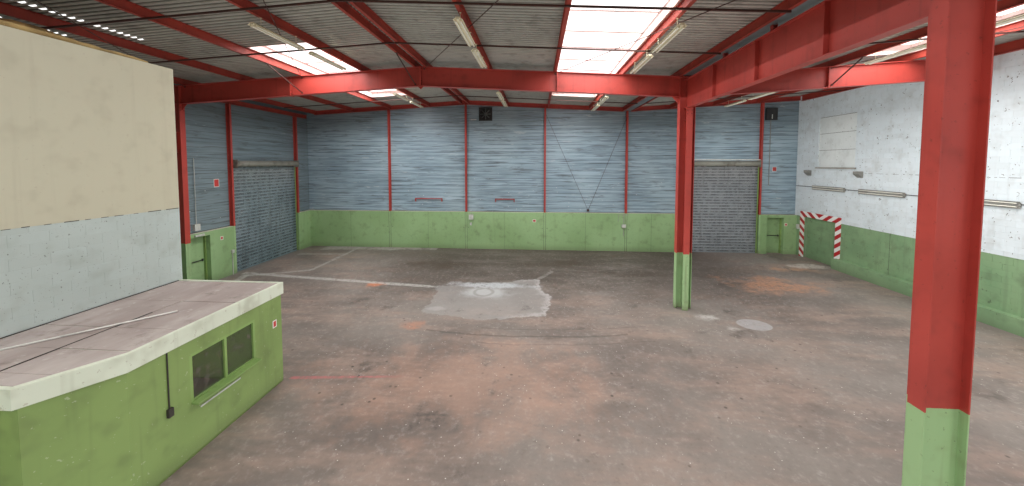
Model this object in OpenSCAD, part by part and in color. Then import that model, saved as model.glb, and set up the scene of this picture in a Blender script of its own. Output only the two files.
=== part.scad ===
// Factory hall: steel portal frames, a wide pitched span and a narrower bay that rises
// to a block wall. Millimetres, +Z up, +Y towards the gable wall with the fan.
// The origin is at the middle of the footprint, on the underside of the floor slab.

/* [Plan] */
// half of the wide span, and the whole of the narrow bay, across the hall
half_span = 9500; // [8500:100:12000]
// distance from one portal frame to the next
bay = 8000; // [7500:100:9000]
// thickness of the floor slab
slab_t = 200; // [150:10:400]

/* [Heights] */
// floor to the underside of a rafter at its column
knee_h = 7480; // [7000:10:9000]
// rise of the roof for each unit along the span
pitch = 0.056; // [0.03:0.001:0.12]
// top of the green lower wall above the floor
dado_h = 2250; // [2150:10:2800]
// clear height of the roller shutter openings
shutter_h = 4900; // [3000:50:5400]
// clear height of the doorways for people
door_h = 2080; // [1950:10:2140]

/* [Steel] */
// depth of the main columns
col_d = 533; // [300:1:700]
// flange width of the main columns and rafters
flange_w = 210; // [150:1:300]
// flange thickness
flange_t = 18; // [10:1:30]
// web thickness
web_t = 12; // [8:1:20]
// depth of the main rafters
rafter_d = 700; // [500:10:800]
// depth of the purlins
purlin_d = 230; // [150:10:300]
// width of the purlins' flanges
purlin_w = 90; // [60:5:120]
// underside of the deep girder along the valley, above the floor
girder_z = 7100; // [6500:10:7150]
// depth of that girder
girder_d = 980; // [600:10:1000]
// depth of the girder above the near shutter
side_d = 800; // [400:10:900]
// depth of the rafters against the gable walls
gable_d = 240; // [150:10:260]
// thickness of splice plates, stiffeners and cleats
plate_t = 20; // [10:1:30]

/* [Roof] */
// thickness of the roof sheets with their insulation
roof_t = 40; // [30:5:80]
// height of the rooflights' kerbs above the sheets
kerb_h = 240; // [150:10:300]
// thickness of a rooflight's kerb
kerb_t = 40; // [20:5:60]
// depth of the gutters
gutter_d = 175; // [100:5:180]
// thickness of the gutters
gutter_t = 10; // [4:1:15]

/* [Walls] */
// thickness of the green lower wall
dado_t = 140; // [120:10:150]
// thickness of the metal cladding with its liner
clad_t = 160; // [155:5:200]
// thickness of the block wall on the high side
block_t = 215; // [150:5:300]
// width of the roller shutter openings
shutter_w = 4200; // [2500:50:4800]
// width of the doorways for people
door_w = 900; // [750:10:1200]
// width of the gateway in the block wall
gate_w = 2400; // [1500:50:3500]
// height of the gateway
gate_h = 2600; // [2300:50:3500]
// width of the bands round the gateways
stripe_w = 150; // [80:10:200]

/* [Inner wall and booth] */
// face of the inner wall, measured from the middle of the hall
inner_x = -9066; // [-10500:1:-8500]
// north end of the inner wall
inner_y = 3021; // [2500:1:4000]
// height of the inner wall
inner_h = 7400; // [5000:10:7420]
// joint between painted blocks below and smooth panels above
inner_joint = 4100; // [2500:10:5000]
// thickness of the inner wall
inner_t = 200; // [100:10:300]
// booth height to the top of its roof
booth_h = 2370; // [2300:10:2800]
// depth of the booth's roof edge
fascia = 275; // [120:5:300]
// thickness of the booth's walls
booth_t = 80; // [50:5:150]
// how far the booth stands out from the inner wall
booth_w = 2566; // [2200:10:3500]
// length of the booth
booth_l = 3940; // [3500:10:5000]

/* [Moving pieces] */
// gap all round a door leaf
leaf_gap = 5; // [5:1:12]
// thickness of a door leaf
leaf_t = 50; // [40:1:70]
// radius of the wall fan's blades
fan_r = 330; // [200:5:350]
// width of the wall fan's square plate
fan_s = 800; // [760:10:900]
// radius of the fan's shaft
shaft_r = 15; // [10:1:25]
// radius of a door hinge's knuckle
knuckle_r = 7; // [6:0.5:9]
// radius of a door hinge's pin
pin_r = 3.5; // [3:0.5:4]
// clearance round a pin or shaft
run_gap = 0.1; // [0.05:0.01:0.1]

/* [Lamps] */
// length of a lamp fitting
lamp_l = 1750; // [1200:50:1900]
// width of a lamp fitting
lamp_w = 220; // [120:10:300]
// how far the lamps hang below the purlins
lamp_drop = 200; // [100:10:300]

/* [Hidden] */
// overlap of joined shapes, and the slot between separate pieces of one node
e = 0.02;
cut = 0.5;
// rest gap under a piece that is fixed to its neighbour
seat = 0.3;
f = slab_t;
x_left = -1.5 * half_span;
x_ridge = -0.5 * half_span;
x_valley = 0.5 * half_span;
x_right = 1.5 * half_span;
frames = [bay, 0, -bay];
bays = [-2, -1, 0, 1];
y_in = 2 * bay + 250;
y_out = y_in + clad_t;
y_dado = y_in + dado_t;
x_clad = x_left - col_d - 20;
x_out = x_clad - clad_t;
x_dado = x_clad - dado_t;
x_wall = x_right + block_t;
raft_top = knee_h + rafter_d;

// purlin lines: four to each slope, a pair at the ridge, one each side of the valley gutter
purlin_step = half_span / 4;
purlin_shift = 175;
ridge_off = 200;
valley_off = 260;
function purlin_x(i) = x_ridge + purlin_shift + i * purlin_step;
bay_purlins = [for (i = [1 : 3]) x_valley + i * purlin_step];
purlin_lines = concat([for (i = [-4, -3, -2, -1, 1, 2, 3]) purlin_x(i)],
  [x_ridge - ridge_off, x_ridge + ridge_off, x_valley - valley_off, x_valley + valley_off], bay_purlins);
purlin_y = y_in - 180;

// rooflights between two purlins: first and last purlin line, south and north end
light_n = [5400, 13500];
light_m = [2700, 13500];
light_r = [-2500, 7850];
light_list = [
  [purlin_x(-2), purlin_x(-1), light_n[0], light_n[1]],
  [purlin_x(-2), purlin_x(-1), -light_n[1], -light_n[0]],
  [purlin_x(2), purlin_x(3), light_m[0], light_m[1]],
  [purlin_x(2), purlin_x(3), -light_m[1], -light_m[0]],
  [bay_purlins[1], bay_purlins[2], light_r[0], light_r[1]],
  [bay_purlins[1], bay_purlins[2], -light_n[1], -light_n[0]]];
light_edge = purlin_w / 2 + 15;

// openings in the walls, each from its first to its last edge
shut_a = [inner_y + 429, inner_y + 429 + shutter_w];
shut_b = [y_in - 5570, y_in - 5570 + shutter_w];
shut_c = [x_valley + 3150, x_valley + 3150 + shutter_w];
door_l = [shut_a[1] + 750, shut_a[1] + 750 + door_w];
door_n = [shut_c[1] + 550, shut_c[1] + 550 + door_w];
gate_y = [-900, -900 + gate_w];
porch_y = [y_in - 2750, y_in - 750];
porch_h = 2250;
blocked_y = [y_in - 3650, y_in - 1480];
blocked_z = [4980, 7550];
kerb_y = [gate_y[1] + 3000, porch_y[0] - stripe_w - 10];
corbel_y = [15300, 12300, 9250, 6200];
corbel_z = 4660;

post_d = 190;
post_w = 100;
post_t = 10;
post_off = 130;
post_n = [x_ridge - 2 * purlin_step, x_ridge, 0, x_valley, shut_c[0] - post_off, shut_c[1] + post_off];
post_s = [x_ridge - 2 * purlin_step, x_ridge, 0, x_valley, x_valley + 2 * purlin_step];
post_l = [shut_a[0] - post_off, shut_b[0] - post_off, shut_b[1] + post_off, -bay / 2, -1.5 * bay];
plinth_off = post_w / 2 + 5;
gable_y = y_in - post_d / 2;
gable_w = 150;
eaves_z = raft_top - 250;
side_z = shutter_h + 700;
splice_off = 5000;
bay_splice = 4600;

booth_x = inner_x + booth_w;
booth_n = inner_y - 81;
booth_s = booth_n - booth_l;
cham = [booth_x - 450, booth_s + 820];
bdoor = [inner_x + 566, inner_x + 1416];
bdoor_h = booth_h - fascia - 115;
win_y = [booth_n - 2200, booth_n - 780];
win_z = [950, 1830];
win_mid = (win_y[0] + win_y[1]) / 2;
win_bar = 50;
shelf_w = 140;
wool_h = 320;

fan_x = x_ridge + 1190;
fan_z = 8130;
fan_plate = 60;
fan_back = 20;
fan2_x = [shut_c[1] + 350, shut_c[1] + 950];
fan2_z = [7620, 8300];
blades = 8;

curtain_t = 24;
curtain_y = -72;
roll_r = 150;
guide_w = 70;
guide_d = 90;
frame_w = 50;
knuckle_h = 60;
hinge_z = [180, 1700];
push_z = 1000;

guide_off = guide_w + 10;
col_off = flange_w / 2 + 5;
// low walls between the posts, flush with their fronts
left_plinths = [
  [inner_y, post_l[0] - plinth_off], [shut_a[1] + guide_off, bay - col_off],
  [bay + col_off, door_l[0]], [door_l[1], post_l[1] - plinth_off], [post_l[2] + plinth_off, y_in],
  [-y_in, post_l[4] - plinth_off], [post_l[4] + plinth_off, -bay - col_off],
  [-bay + col_off, post_l[3] - plinth_off], [post_l[3] + plinth_off, -col_off],
  [col_off, inner_y - inner_t]];
north_plinths = [
  [x_clad + post_d, post_n[0] - plinth_off],
  for (i = [0 : 3]) [post_n[i] + plinth_off, post_n[i + 1] - plinth_off],
  [post_n[5] + plinth_off, door_n[0]], [door_n[1], x_right]];
south_plinths = [
  [x_clad + post_d, post_s[0] - plinth_off], [post_s[0] + plinth_off, inner_x - inner_t],
  [inner_x, post_s[1] - plinth_off],
  for (i = [1 : 3]) [post_s[i] + plinth_off, post_s[i + 1] - plinth_off],
  [post_s[4] + plinth_off, x_right]];

bar_w = 40;
rod_w = 16;
brace_w = 30;
brace_run = 1700;
bay_brace_run = 1100;
rod_drop = 60;
sag_y = [bay / 3, 2 * bay / 3];
vee = [2556, 2390];
tube_r = 19;
lamp_rows = [purlin_x(-1), purlin_x(1), purlin_x(3), bay_purlins[1]];
lamp_y = [3775, 5875];
wall_lamps = [[13000, 15000], [10250, 12300], [6900, 8900]];
wall_lamp_z = 3900;

steel = [0.55, 0.13, 0.09];
steel_dull = [0.52, 0.14, 0.1];
green = [0.36, 0.48, 0.22];
liner = [0.45, 0.5, 0.54];
lath = [0.5, 0.53, 0.55];

// underside of the roof sheets above the floor
function roof_z(x) = raft_top + purlin_d +
  pitch * (x < x_valley ? half_span - abs(x - x_ridge) : x - x_valley);

// underside of the purlins, and of the main rafters, above the floor
function purlin_z(x) = roof_z(x) - purlin_d + 3;
function rafter_z(x) = roof_z(x) - purlin_d - rafter_d;
gutter_z = roof_z(x_valley) - gutter_d - 10;

module box(a, b) { translate(a) cube([b[0] - a[0], b[1] - a[1], b[2] - a[2]]); }

// I-section along +Z, web in the XZ plane, centred on the origin in plan
module i_col(h, d, w, t, tw) {
  for (s = [-1, 1]) translate([s * (d - t) / 2, 0, h / 2]) cube([t, w, h], center = true);
  translate([0, 0, h / 2]) cube([d - 2 * t + e, tw, h], center = true);
}

// I-section along +Y from y0 to y1, bottom at z0
module i_beam_y(x, y0, y1, z0, d, w, t, tw) {
  box([x - w / 2, y0, z0], [x + w / 2, y1, z0 + t]);
  box([x - w / 2, y0, z0 + d - t], [x + w / 2, y1, z0 + d]);
  box([x - tw / 2, y0, z0 + t - e], [x + tw / 2, y1, z0 + d - t + e]);
}

// sloping plate across the hall between two points of its underside
module slope_x(xa, za, xb, zb, y0, y1, t) {
  translate([0, y1, 0]) rotate([90, 0, 0]) linear_extrude(y1 - y0)
    polygon([[xa, za], [xb, zb], [xb, zb + t], [xa, za + t]]);
}

// sloping I-section across the hall, given the height of its underside at each end
module i_rafter(xa, za, xb, zb, y, d, w, t, tw) {
  slope_x(xa, za, xb, zb, y - w / 2, y + w / 2, t);
  slope_x(xa, za + d - t, xb, zb + d - t, y - w / 2, y + w / 2, t);
  slope_x(xa, za + t - e, xb, zb + t - e, y - tw / 2, y + tw / 2, d - 2 * t + 2 * e);
}

// square bar between two points
module bar(p, q, w) {
  v = q - p;
  translate(p) rotate([0, acos(v[2] / norm(v)), atan2(v[1], v[0])])
    translate([-w / 2, -w / 2, 0]) cube([w, w, norm(v)]);
}

// plate across a rafter at x, a little deeper than the rafter
module splice(x, y) {
  z = rafter_z(x);
  box([x - plate_t, y - flange_w / 2, z - plate_t], [x + plate_t, y + flange_w / 2, z + rafter_d - e]);
}

// upright triangular plate under a rafter, reaching r along it from a column face at x
module knee(x, y, r) {
  z = rafter_z(x);
  translate([0, y + web_t / 2, 0]) rotate([90, 0, 0]) linear_extrude(web_t)
    polygon([[x, z - abs(r)], [x, z + flange_t / 2], [x + r, rafter_z(x + r) + flange_t / 2]]);
}

// horizontal stiffeners between the flanges of a column at the origin, on the given sides of its web
module stiffeners(zs, sides = [-1, 1]) {
  w = flange_w / 2 - 10;
  for (z = zs, s = sides) translate([0, s * w / 2, z])
    cube([col_d - 2 * flange_t + e, w, plate_t], center = true);
}

module floor_slab() {
  color([0.42, 0.38, 0.35]) box([x_dado, -y_dado, 0], [x_wall, y_dado, slab_t]);
}

module left_columns() {
  color(steel) for (y = frames) translate([x_left - col_d / 2, y, f]) {
    i_col(raft_top, col_d, flange_w, flange_t, web_t);
    stiffeners([knee_h + flange_t / 2, raft_top - plate_t / 2]);
  }
}

module valley_columns() {
  saddle_w = 2 * (valley_off - purlin_w / 2 - 25);
  color(steel) for (y = frames) translate([x_valley, y, f]) {
    i_col(raft_top, col_d, flange_w, flange_t, web_t);
    box([-saddle_w / 2, -web_t / 2, raft_top - e], [saddle_w / 2, web_t / 2, gutter_z]);
    stiffeners([raft_top - plate_t / 2]);
    stiffeners([knee_h + flange_t / 2], y > 0 ? [1] : (y == 0 ? [-1] : [-1, 1]));
    if (y > -bay) t_stub(y > 0 ? -1 : 1);
  }
}

// half section on one face of a valley column, which takes the deep girder
module t_stub(s) {
  reach = 270;
  h = girder_z;
  translate([0, s * (web_t / 2 + reach / 2 - e), h / 2]) cube([web_t, reach, h], center = true);
  translate([0, s * (web_t / 2 + reach - flange_t / 2), h / 2])
    cube([flange_w, flange_t, h], center = true);
  for (z = [h - plate_t / 2, h - 420])
    translate([0, s * (web_t / 2 + reach / 2), z]) cube([flange_w - 20, reach, plate_t], center = true);
}

module main_rafter(xa, xb, y) {
  i_rafter(xa, rafter_z(xa), xb, rafter_z(xb), y, rafter_d, flange_w, flange_t, web_t);
}

module main_rafters() {
  xc = x_valley - col_d / 2;
  apex = 110;
  color(steel) for (y = frames) translate([0, 0, f]) {
    main_rafter(x_left, x_ridge - cut / 2, y);
    main_rafter(x_ridge + cut / 2, xc, y);
    for (s = [-1, 1]) {
      splice(x_ridge + s * splice_off, y);
      splice(x_ridge + s * (plate_t + cut), y);
      translate([0, y + web_t / 2, 0]) rotate([90, 0, 0]) linear_extrude(web_t) polygon([
        [x_ridge + s * cut, rafter_z(x_ridge) + e], [x_ridge + s * apex, rafter_z(x_ridge + apex) + e],
        [x_ridge + s * cut, rafter_z(x_ridge) - apex]]);
    }
    knee(x_left, y, 250);
    knee(xc, y, -250);
  }
}

module bay_rafters() {
  xa = x_valley + col_d / 2;
  zr = rafter_z(x_right);
  color(steel) for (y = frames) translate([0, 0, f]) {
    main_rafter(xa, x_right, y);
    splice(x_valley + bay_splice, y);
    knee(xa, y, 250);
    box([x_right - plate_t, y - flange_w / 2, zr - 120], [x_right, y + flange_w / 2, zr + e]);
  }
}

// rafter against a gable wall, straight between two places
module gable_rafter(xa, xb) {
  za = roof_z(xa + e) - gable_d - seat;
  zb = roof_z(xb - e) - gable_d - seat;
  i_rafter(xa, za, xb - cut, zb, 0, gable_d, gable_w, 12, 8);
}

module gable_rafters() {
  color(steel) for (s = [-1, 1]) translate([0, s * gable_y, f]) {
    gable_rafter(x_left, x_ridge);
    gable_rafter(x_ridge, x_valley - valley_off + purlin_w / 2);
    gable_rafter(x_valley + valley_off - purlin_w / 2, x_right);
  }
}

module gable_post(x, s) {
  h = x == x_valley ? gutter_z : roof_z(x) - gable_d - seat - pitch * post_w / 2;
  translate([x, s * gable_y, f]) rotate([0, 0, 90]) i_col(h, post_d, post_w, post_t, 7);
}

module wall_posts() {
  color([0.5, 0.12, 0.09]) {
    for (x = post_n) gable_post(x, 1);
    for (x = post_s) gable_post(x, -1);
    for (y = post_l) translate([x_clad + post_d / 2, y, f]) i_col(eaves_z, post_d, post_w, post_t, 7);
  }
}

module portal_girders() {
  xl = x_left - col_d / 2;
  top = girder_z + girder_d;
  color(steel) translate([0, 0, f]) {
    i_beam_y(x_valley, web_t / 2, bay - web_t / 2, girder_z, girder_d, flange_w, flange_t, web_t);
    for (k = [1 : 3]) {
      y = k * bay / 4;
      box([x_valley - flange_w / 2 + 5, y - plate_t / 2, girder_z + flange_t - e],
        [x_valley + flange_w / 2 - 5, y + plate_t / 2, top - flange_t + e]);
      translate([x_valley, y - 500, top - e]) i_col(gutter_z - top, post_w, post_w, post_t, post_t);
    }
    i_beam_y(xl, web_t / 2, bay - web_t / 2, side_z, side_d, 180, 14, 10);
    for (k = [1 : 3])
      box([xl - 85, k * bay / 4 - 6, side_z + 14 - e], [xl + 85, k * bay / 4 + 6, side_z + side_d - 14 + e]);
  }
}

module one_purlin(x) {
  i_beam_y(x, -purlin_y, purlin_y, purlin_z(x), purlin_d - 6, purlin_w, 9, 6);
}

module purlins() {
  color(steel_dull) translate([0, 0, f]) for (x = purlin_lines) one_purlin(x);
}

module eaves_beams() {
  hr = 300;
  xr = x_right - gable_w / 2;
  zr = roof_z(x_right - gable_w) - hr - seat;
  color(steel_dull) translate([0, 0, f]) for (k = bays) {
    y0 = k == bays[0] ? -y_in + post_d + 10 : k * bay;
    y1 = k == bays[3] ? y_in - post_d - 10 : (k + 1) * bay;
    i_beam_y(xr, y0 + flange_w / 2 + 5, y1 - flange_w / 2 - 5, zr, hr, gable_w, 12, 8);
    i_beam_y(x_left - col_d + 93, y0 + web_t / 2, y1 - web_t / 2, eaves_z, 200, 140, 12, 8);
  }
}

// bar under the purlins, across one slope, its top just below the low edge of their flanges
module sag_bar(x0, x1, y) {
  low = seat + pitch * purlin_w / 2 + bar_w;
  slope_x(x0, purlin_z(x0) - low, x1, purlin_z(x1) - low, y - bar_w / 2, y + bar_w / 2, bar_w);
}

// plate on the side of a rafter's web, on the side s, holding the end of a rod
module cleat(x, y, z, s) {
  h = 30;
  ya = y + s * (web_t / 2 + seat);
  box([x - h, min(ya, ya + s * 12), z - h], [x + h, max(ya, ya + s * 12), z + h]);
}

// rod from the south web face of the frame at y1 to the north web face of the frame at y0
module roof_rod(x0, x1, y0, y1) {
  za = purlin_z(x0) - rod_drop;
  zb = purlin_z(x1) - rod_drop;
  off = web_t / 2 + 10;
  bar([x0, y1 - off, za], [x1, y0 + off, zb], rod_w);
  cleat(x0, y1, za, -1);
  cleat(x1, y0, zb, 1);
}

// stay from the underside of a purlin down to the foot of a rafter's web, south of it
module fly_brace(x, y, run) {
  zt = purlin_z(x) - seat;
  zb = rafter_z(x) + flange_t + 70;
  bar([x, y - run, zt - brace_w], [x, y - web_t / 2 - 14, zb], brace_w);
  box([x - 40, y - run - 60, zt - 8], [x + 40, y - run + 60, zt]);
  box([x - 10, y - run - 10, zt - 40], [x + 10, y - run + 10, zt - 8 + e]);
  cleat(x, y, zb, -1);
}

module roof_rods() {
  near = 150;
  knots = [x_left + purlin_shift, purlin_x(-2), x_ridge - near, x_ridge + near, purlin_x(2),
    x_valley - col_d / 2 - near];
  spans = [[0, 1], [1, 2], [3, 4], [4, 5]];
  bay_knots = [x_valley + col_d / 2 + near, bay_purlins[1] - near - 70, x_right - near];
  color(steel_dull) translate([0, 0, f]) {
    for (k = bays, y = sag_y) {
      sag_bar(x_left + purlin_shift, x_ridge - cut, k * bay + y);
      sag_bar(x_ridge, x_valley - valley_off + purlin_w / 2, k * bay + y);
      sag_bar(x_valley + valley_off - purlin_w / 2, x_right - gable_w - 10, k * bay + y);
    }
    for (s = spans) roof_rod(knots[s[0]], knots[s[1]], 0, bay);
    for (i = [0, 1]) roof_rod(bay_knots[i] + near * i, bay_knots[i + 1], 0, bay);
    for (y = frames) {
      for (x = [purlin_x(-2), x_ridge - ridge_off]) fly_brace(x, y, brace_run);
      fly_brace(bay_purlins[1], y, bay_brace_run);
    }
    vee_rods();
  }
}

// two rods on the gable wall that meet in a bracket between two posts
module vee_rods() {
  h = 60;
  for (x = [0, x_valley]) {
    s = x < vee[0] ? 1 : -1;
    zt = roof_z(x) - gable_d - 300;
    bar([vee[0], gable_y, vee[1]], [x + s * 14, gable_y, zt], rod_w);
    box([x + s * 9.5 - 6, gable_y - 40, zt - h], [x + s * 9.5 + 6, gable_y + 40, zt + h]);
  }
  box([vee[0] - h, gable_y - 12, vee[1] - h], [vee[0] + h, y_in, vee[1] + h]);
}

module roof_plane(x0, x1) {
  slope_x(x0, roof_z(x0), x1, roof_z(x1), -y_out, y_out, roof_t);
}

// block that fills a rooflight's opening, set in by g and from h above the sheets' underside
module light_block(l, g, h, t) {
  x0 = l[0] + light_edge + g;
  x1 = l[1] - light_edge - g;
  slope_x(x0, roof_z(x0) + h, x1, roof_z(x1) + h, l[2] + g, l[3] - g, t);
}

module roof_sheets() {
  color([0.5, 0.52, 0.52]) translate([0, 0, f]) difference() {
    union() {
      roof_plane(x_out, x_ridge - cut / 2);
      roof_plane(x_ridge + cut / 2, x_valley - 200);
      roof_plane(x_valley + 200, x_wall);
    }
    for (l = light_list) light_block(l, 0, -1, roof_t + 2);
  }
}

// upright board that follows the roof, from the sheets' underside to the rooflight
module kerb_board(x0, x1, y0, y1) { slope_x(x0, roof_z(x0), x1, roof_z(x1), y0, y1, roof_t + kerb_h); }

module rooflight_kerbs() {
  color([0.75, 0.72, 0.7]) translate([0, 0, f]) for (l = light_list) {
    x0 = l[0] + light_edge + seat;
    x1 = l[1] - light_edge - seat;
    for (x = [x0, x1 - kerb_t]) kerb_board(x, x + kerb_t, l[2] + seat, l[3] - seat);
    for (y = [l[2] + seat, l[3] - seat - kerb_t])
      kerb_board(x0 + kerb_t + cut, x1 - kerb_t - cut, y, y + kerb_t);
  }
}

module rooflights() {
  color([0.9, 0.92, 0.93, 0.6]) translate([0, 0, f])
    for (l = light_list) light_block(l, -kerb_t, roof_t + kerb_h + seat, 25);
}

module ridge_cap() {
  z = roof_z(x_ridge) + roof_t + seat;
  w = 250;
  color([0.45, 0.47, 0.48]) translate([0, 0, f]) {
    slope_x(x_ridge - w, z - pitch * w, x_ridge + e, z, -y_out, y_out, 6);
    slope_x(x_ridge - e, z, x_ridge + w, z - pitch * w, -y_out, y_out, 6);
  }
}

module gutters() {
  ze = roof_z(x_out) - gutter_d - 15;
  color([0.5, 0.52, 0.53]) translate([0, 0, f]) {
    trough(x_valley - 205, x_valley + 205, gutter_z);
    trough(x_out - 180, x_out, ze);
    for (y = [-1.5 * bay, -300, bay + 1700]) box([x_out - 140, y - 50, -f], [x_out - 40, y + 50, ze - cut]);
  }
}

// open channel along the hall
module trough(x0, x1, z) {
  t = gutter_t;
  difference() {
    box([x0, -y_out, z], [x1, y_out, z + gutter_d]);
    box([x0 + t, -y_out + t, z + t], [x1 - t, y_out - t, z + gutter_d + 1]);
  }
}

// twin lamp fitting along Y, its top at the origin
module lamp(l) {
  w = lamp_w;
  translate([0, l / 2, 0]) rotate([90, 0, 0]) linear_extrude(l)
    polygon([[-w / 4, 0], [w / 4, 0], [w / 2, -55], [w / 2 - 10, -60], [-w / 2 + 10, -60], [-w / 2, -55]]);
  for (s = [-1, 1]) translate([s * w / 4, l / 2 - 30, -60 - tube_r + 4]) rotate([90, 0, 0])
    cylinder(r = tube_r, h = l - 60, $fn = 16);
}

module lamp_fittings() {
  hook = 600;
  color([0.9, 0.88, 0.8]) translate([0, 0, f]) {
    for (k = bays, y = lamp_y, x = lamp_rows) translate([x, k * bay + y, purlin_z(x) - lamp_drop]) {
      lamp(lamp_l);
      for (s = [-1, 1]) box([-10, s * hook - 10, -e], [10, s * hook + 10, lamp_drop - seat]);
    }
    for (r = wall_lamps) translate([x_right - seat, (r[0] + r[1]) / 2, wall_lamp_z]) rotate([0, 90, 0])
      lamp(r[1] - r[0]);
  }
}

// stretch of wall whose top follows the roof, between two places where the roof is straight
module gable_sheet(x0, x1, z0, y0, y1) {
  knots = [for (x = [x_valley, x_ridge]) if (x < x1 && x > x0) x];
  xs = concat([x1 - cut], knots, [x0]);
  difference() {
    translate([0, y1, 0]) rotate([90, 0, 0]) linear_extrude(y1 - y0)
      polygon(concat([[x0, z0], [x1 - cut, z0]], [for (x = xs) [x, roof_z(x) - 1]]));
    box([x_valley - 206, y0 - 1, gutter_z - 1], [x_valley + 206, y1 + 1, roof_z(x_ridge)]);
  }
}

module north_cladding() {
  fo = fan_s / 2 - 40;
  color(liner) translate([0, 0, f]) {
    gable_sheet(x_out, fan_x - fo, dado_h, y_in, y_out);
    box([fan_x - fo, y_in, dado_h], [fan_x + fo - cut, y_out, fan_z - fo]);
    gable_sheet(fan_x - fo, fan_x + fo, fan_z + fo, y_in, y_out);
    gable_sheet(fan_x + fo, x_valley, dado_h, y_in, y_out);
    gable_sheet(x_valley, shut_c[0], dado_h, y_in, y_out);
    gable_sheet(shut_c[0], shut_c[1], shutter_h, y_in, y_out);
    gable_sheet(shut_c[1], x_wall, dado_h, y_in, y_out);
  }
}

module south_cladding() {
  color(liner) translate([0, 0, f]) {
    gable_sheet(x_out, x_valley, dado_h, -y_out, -y_in);
    gable_sheet(x_valley, x_wall, dado_h, -y_out, -y_in);
  }
}

module left_cladding() {
  z1 = roof_z(x_out) - 1;
  color(liner) translate([0, 0, f]) {
    for (r = [[-y_in, shut_a[0]], [shut_a[1], shut_b[0]], [shut_b[1], y_in]])
      box([x_out, r[0], dado_h], [x_clad, r[1] - cut, z1]);
    for (s = [shut_a, shut_b]) box([x_out, s[0], shutter_h], [x_clad, s[1] - cut, z1]);
  }
}

module left_dado() {
  xa = x_clad + cut;
  xb = x_clad + post_d;
  color(green) translate([0, 0, f]) {
    for (r = [[-y_in, shut_a[0]], [shut_a[1], door_l[0]], [door_l[1], shut_b[0]], [shut_b[1], y_in]])
      box([x_dado, r[0], 0], [x_clad, r[1], dado_h]);
    box([x_dado, door_l[0] + cut, door_h], [x_clad, door_l[1] - cut, dado_h]);
    for (r = left_plinths) box([xa, r[0], 0], [xb, r[1], dado_h]);
    box([xa, door_l[0] + cut, door_h], [xb, door_l[1] - cut, dado_h]);
  }
}

module north_dado() {
  ya = y_in - post_d;
  yb = y_in - cut;
  color(green) translate([0, 0, f]) {
    for (r = [[x_dado, shut_c[0]], [shut_c[1], door_n[0]], [door_n[1], x_wall]])
      box([r[0], y_in, 0], [r[1], y_dado, dado_h]);
    box([door_n[0] + cut, y_in, door_h], [door_n[1] - cut, y_dado, dado_h]);
    for (r = north_plinths) box([r[0], ya, 0], [r[1], yb, dado_h]);
    box([door_n[0] + cut, ya, door_h], [door_n[1] - cut, yb, dado_h]);
  }
}

module south_dado() {
  color(green) translate([0, 0, f]) {
    box([x_dado, -y_dado, 0], [x_wall, -y_in, dado_h]);
    for (r = south_plinths) box([r[0], -y_in + cut, 0], [r[1], -y_in + post_d, dado_h]);
  }
}

// stretch of the block wall from y0 to y1 and z0 up to z1, or up to the roof where z1 is 0
module block_run(y0, y1, z0, z1 = 0, back = 0) {
  za = z1 > 0 ? z1 : roof_z(x_right) - 1;
  zb = z1 > 0 ? z1 : roof_z(x_wall) - 1;
  translate([0, y1 - cut, 0]) rotate([90, 0, 0]) linear_extrude(y1 - y0 - cut)
    polygon([[x_right + back, z0], [x_wall, z0], [x_wall, zb], [x_right + back, za]]);
}

// stone bracket on the hall side of the block wall
module corbel(y) {
  translate([x_right - cut, y + 150, corbel_z]) rotate([90, 0, 0]) linear_extrude(300)
    polygon([[0, -150], [0, 150], [-200, 150], [-200, 20]]);
}

module right_wall() {
  color([0.85, 0.84, 0.8]) translate([0, 0, f]) {
    block_run(-y_in, gate_y[0], dado_h);
    block_run(gate_y[0], gate_y[1], gate_h);
    difference() {
      block_run(gate_y[1], y_in, dado_h);
      box([x_right - 1, blocked_y[0], blocked_z[0]], [x_right + 50, blocked_y[1], blocked_z[1]]);
    }
    for (y = corbel_y) corbel(y);
    box([x_right - 60, blocked_y[0] - 80, blocked_z[0] - 70],
      [x_right - cut, blocked_y[1] + 80, blocked_z[0]]);
  }
}

module right_wall_base() {
  color(green) translate([0, 0, f]) {
    block_run(-y_in, gate_y[0], 0, dado_h);
    block_run(gate_y[1], porch_y[0], 0, dado_h);
    block_run(porch_y[0], porch_y[1], 0, dado_h, 120);
    block_run(porch_y[1], y_in, 0, dado_h);
  }
}

module right_kerb() {
  color(green) box([x_right - 250, kerb_y[0], f], [x_right, kerb_y[1], f + 500]);
}

// roller curtain across an opening from 0 to the opening's width along +X, hall on the -Y side
module curtain() {
  box([-25, curtain_y, 20], [shutter_w + 25, curtain_y + curtain_t, shutter_h + 60]);
  box([seat, curtain_y, shutter_h + 60 - e], [shutter_w - seat, curtain_y + curtain_t, shutter_h + 100]);
  box([-10, -80, 5], [shutter_w + 10, -40, 20 + e]);
}

module guides() {
  for (m = [0, 1]) translate([m * shutter_w, 0, 0]) mirror([m, 0, 0]) difference() {
    box([-guide_w, -guide_d, 0], [0, 0, shutter_h + 60]);
    box([-32, -82, -1], [1, -38, shutter_h + 61]);
  }
}

module roll() {
  translate([0, -roll_r - 20, shutter_h + 110 + roll_r]) rotate([0, 90, 0])
    cylinder(r = roll_r, h = shutter_w, $fn = 32);
  z = shutter_h + 61;
  for (x = [-12, shutter_w]) box([x, -2 * roll_r - 60, z], [x + 12, 0, z + 2 * roll_r + 90]);
}

// the three openings: the left wall is turned so that its hall side is -Y of the module
module at_left(s) { translate([x_clad, s[0], f]) rotate([0, 0, 90]) children(); }
module at_north(s) { translate([s[0], y_in, f]) children(); }

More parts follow.
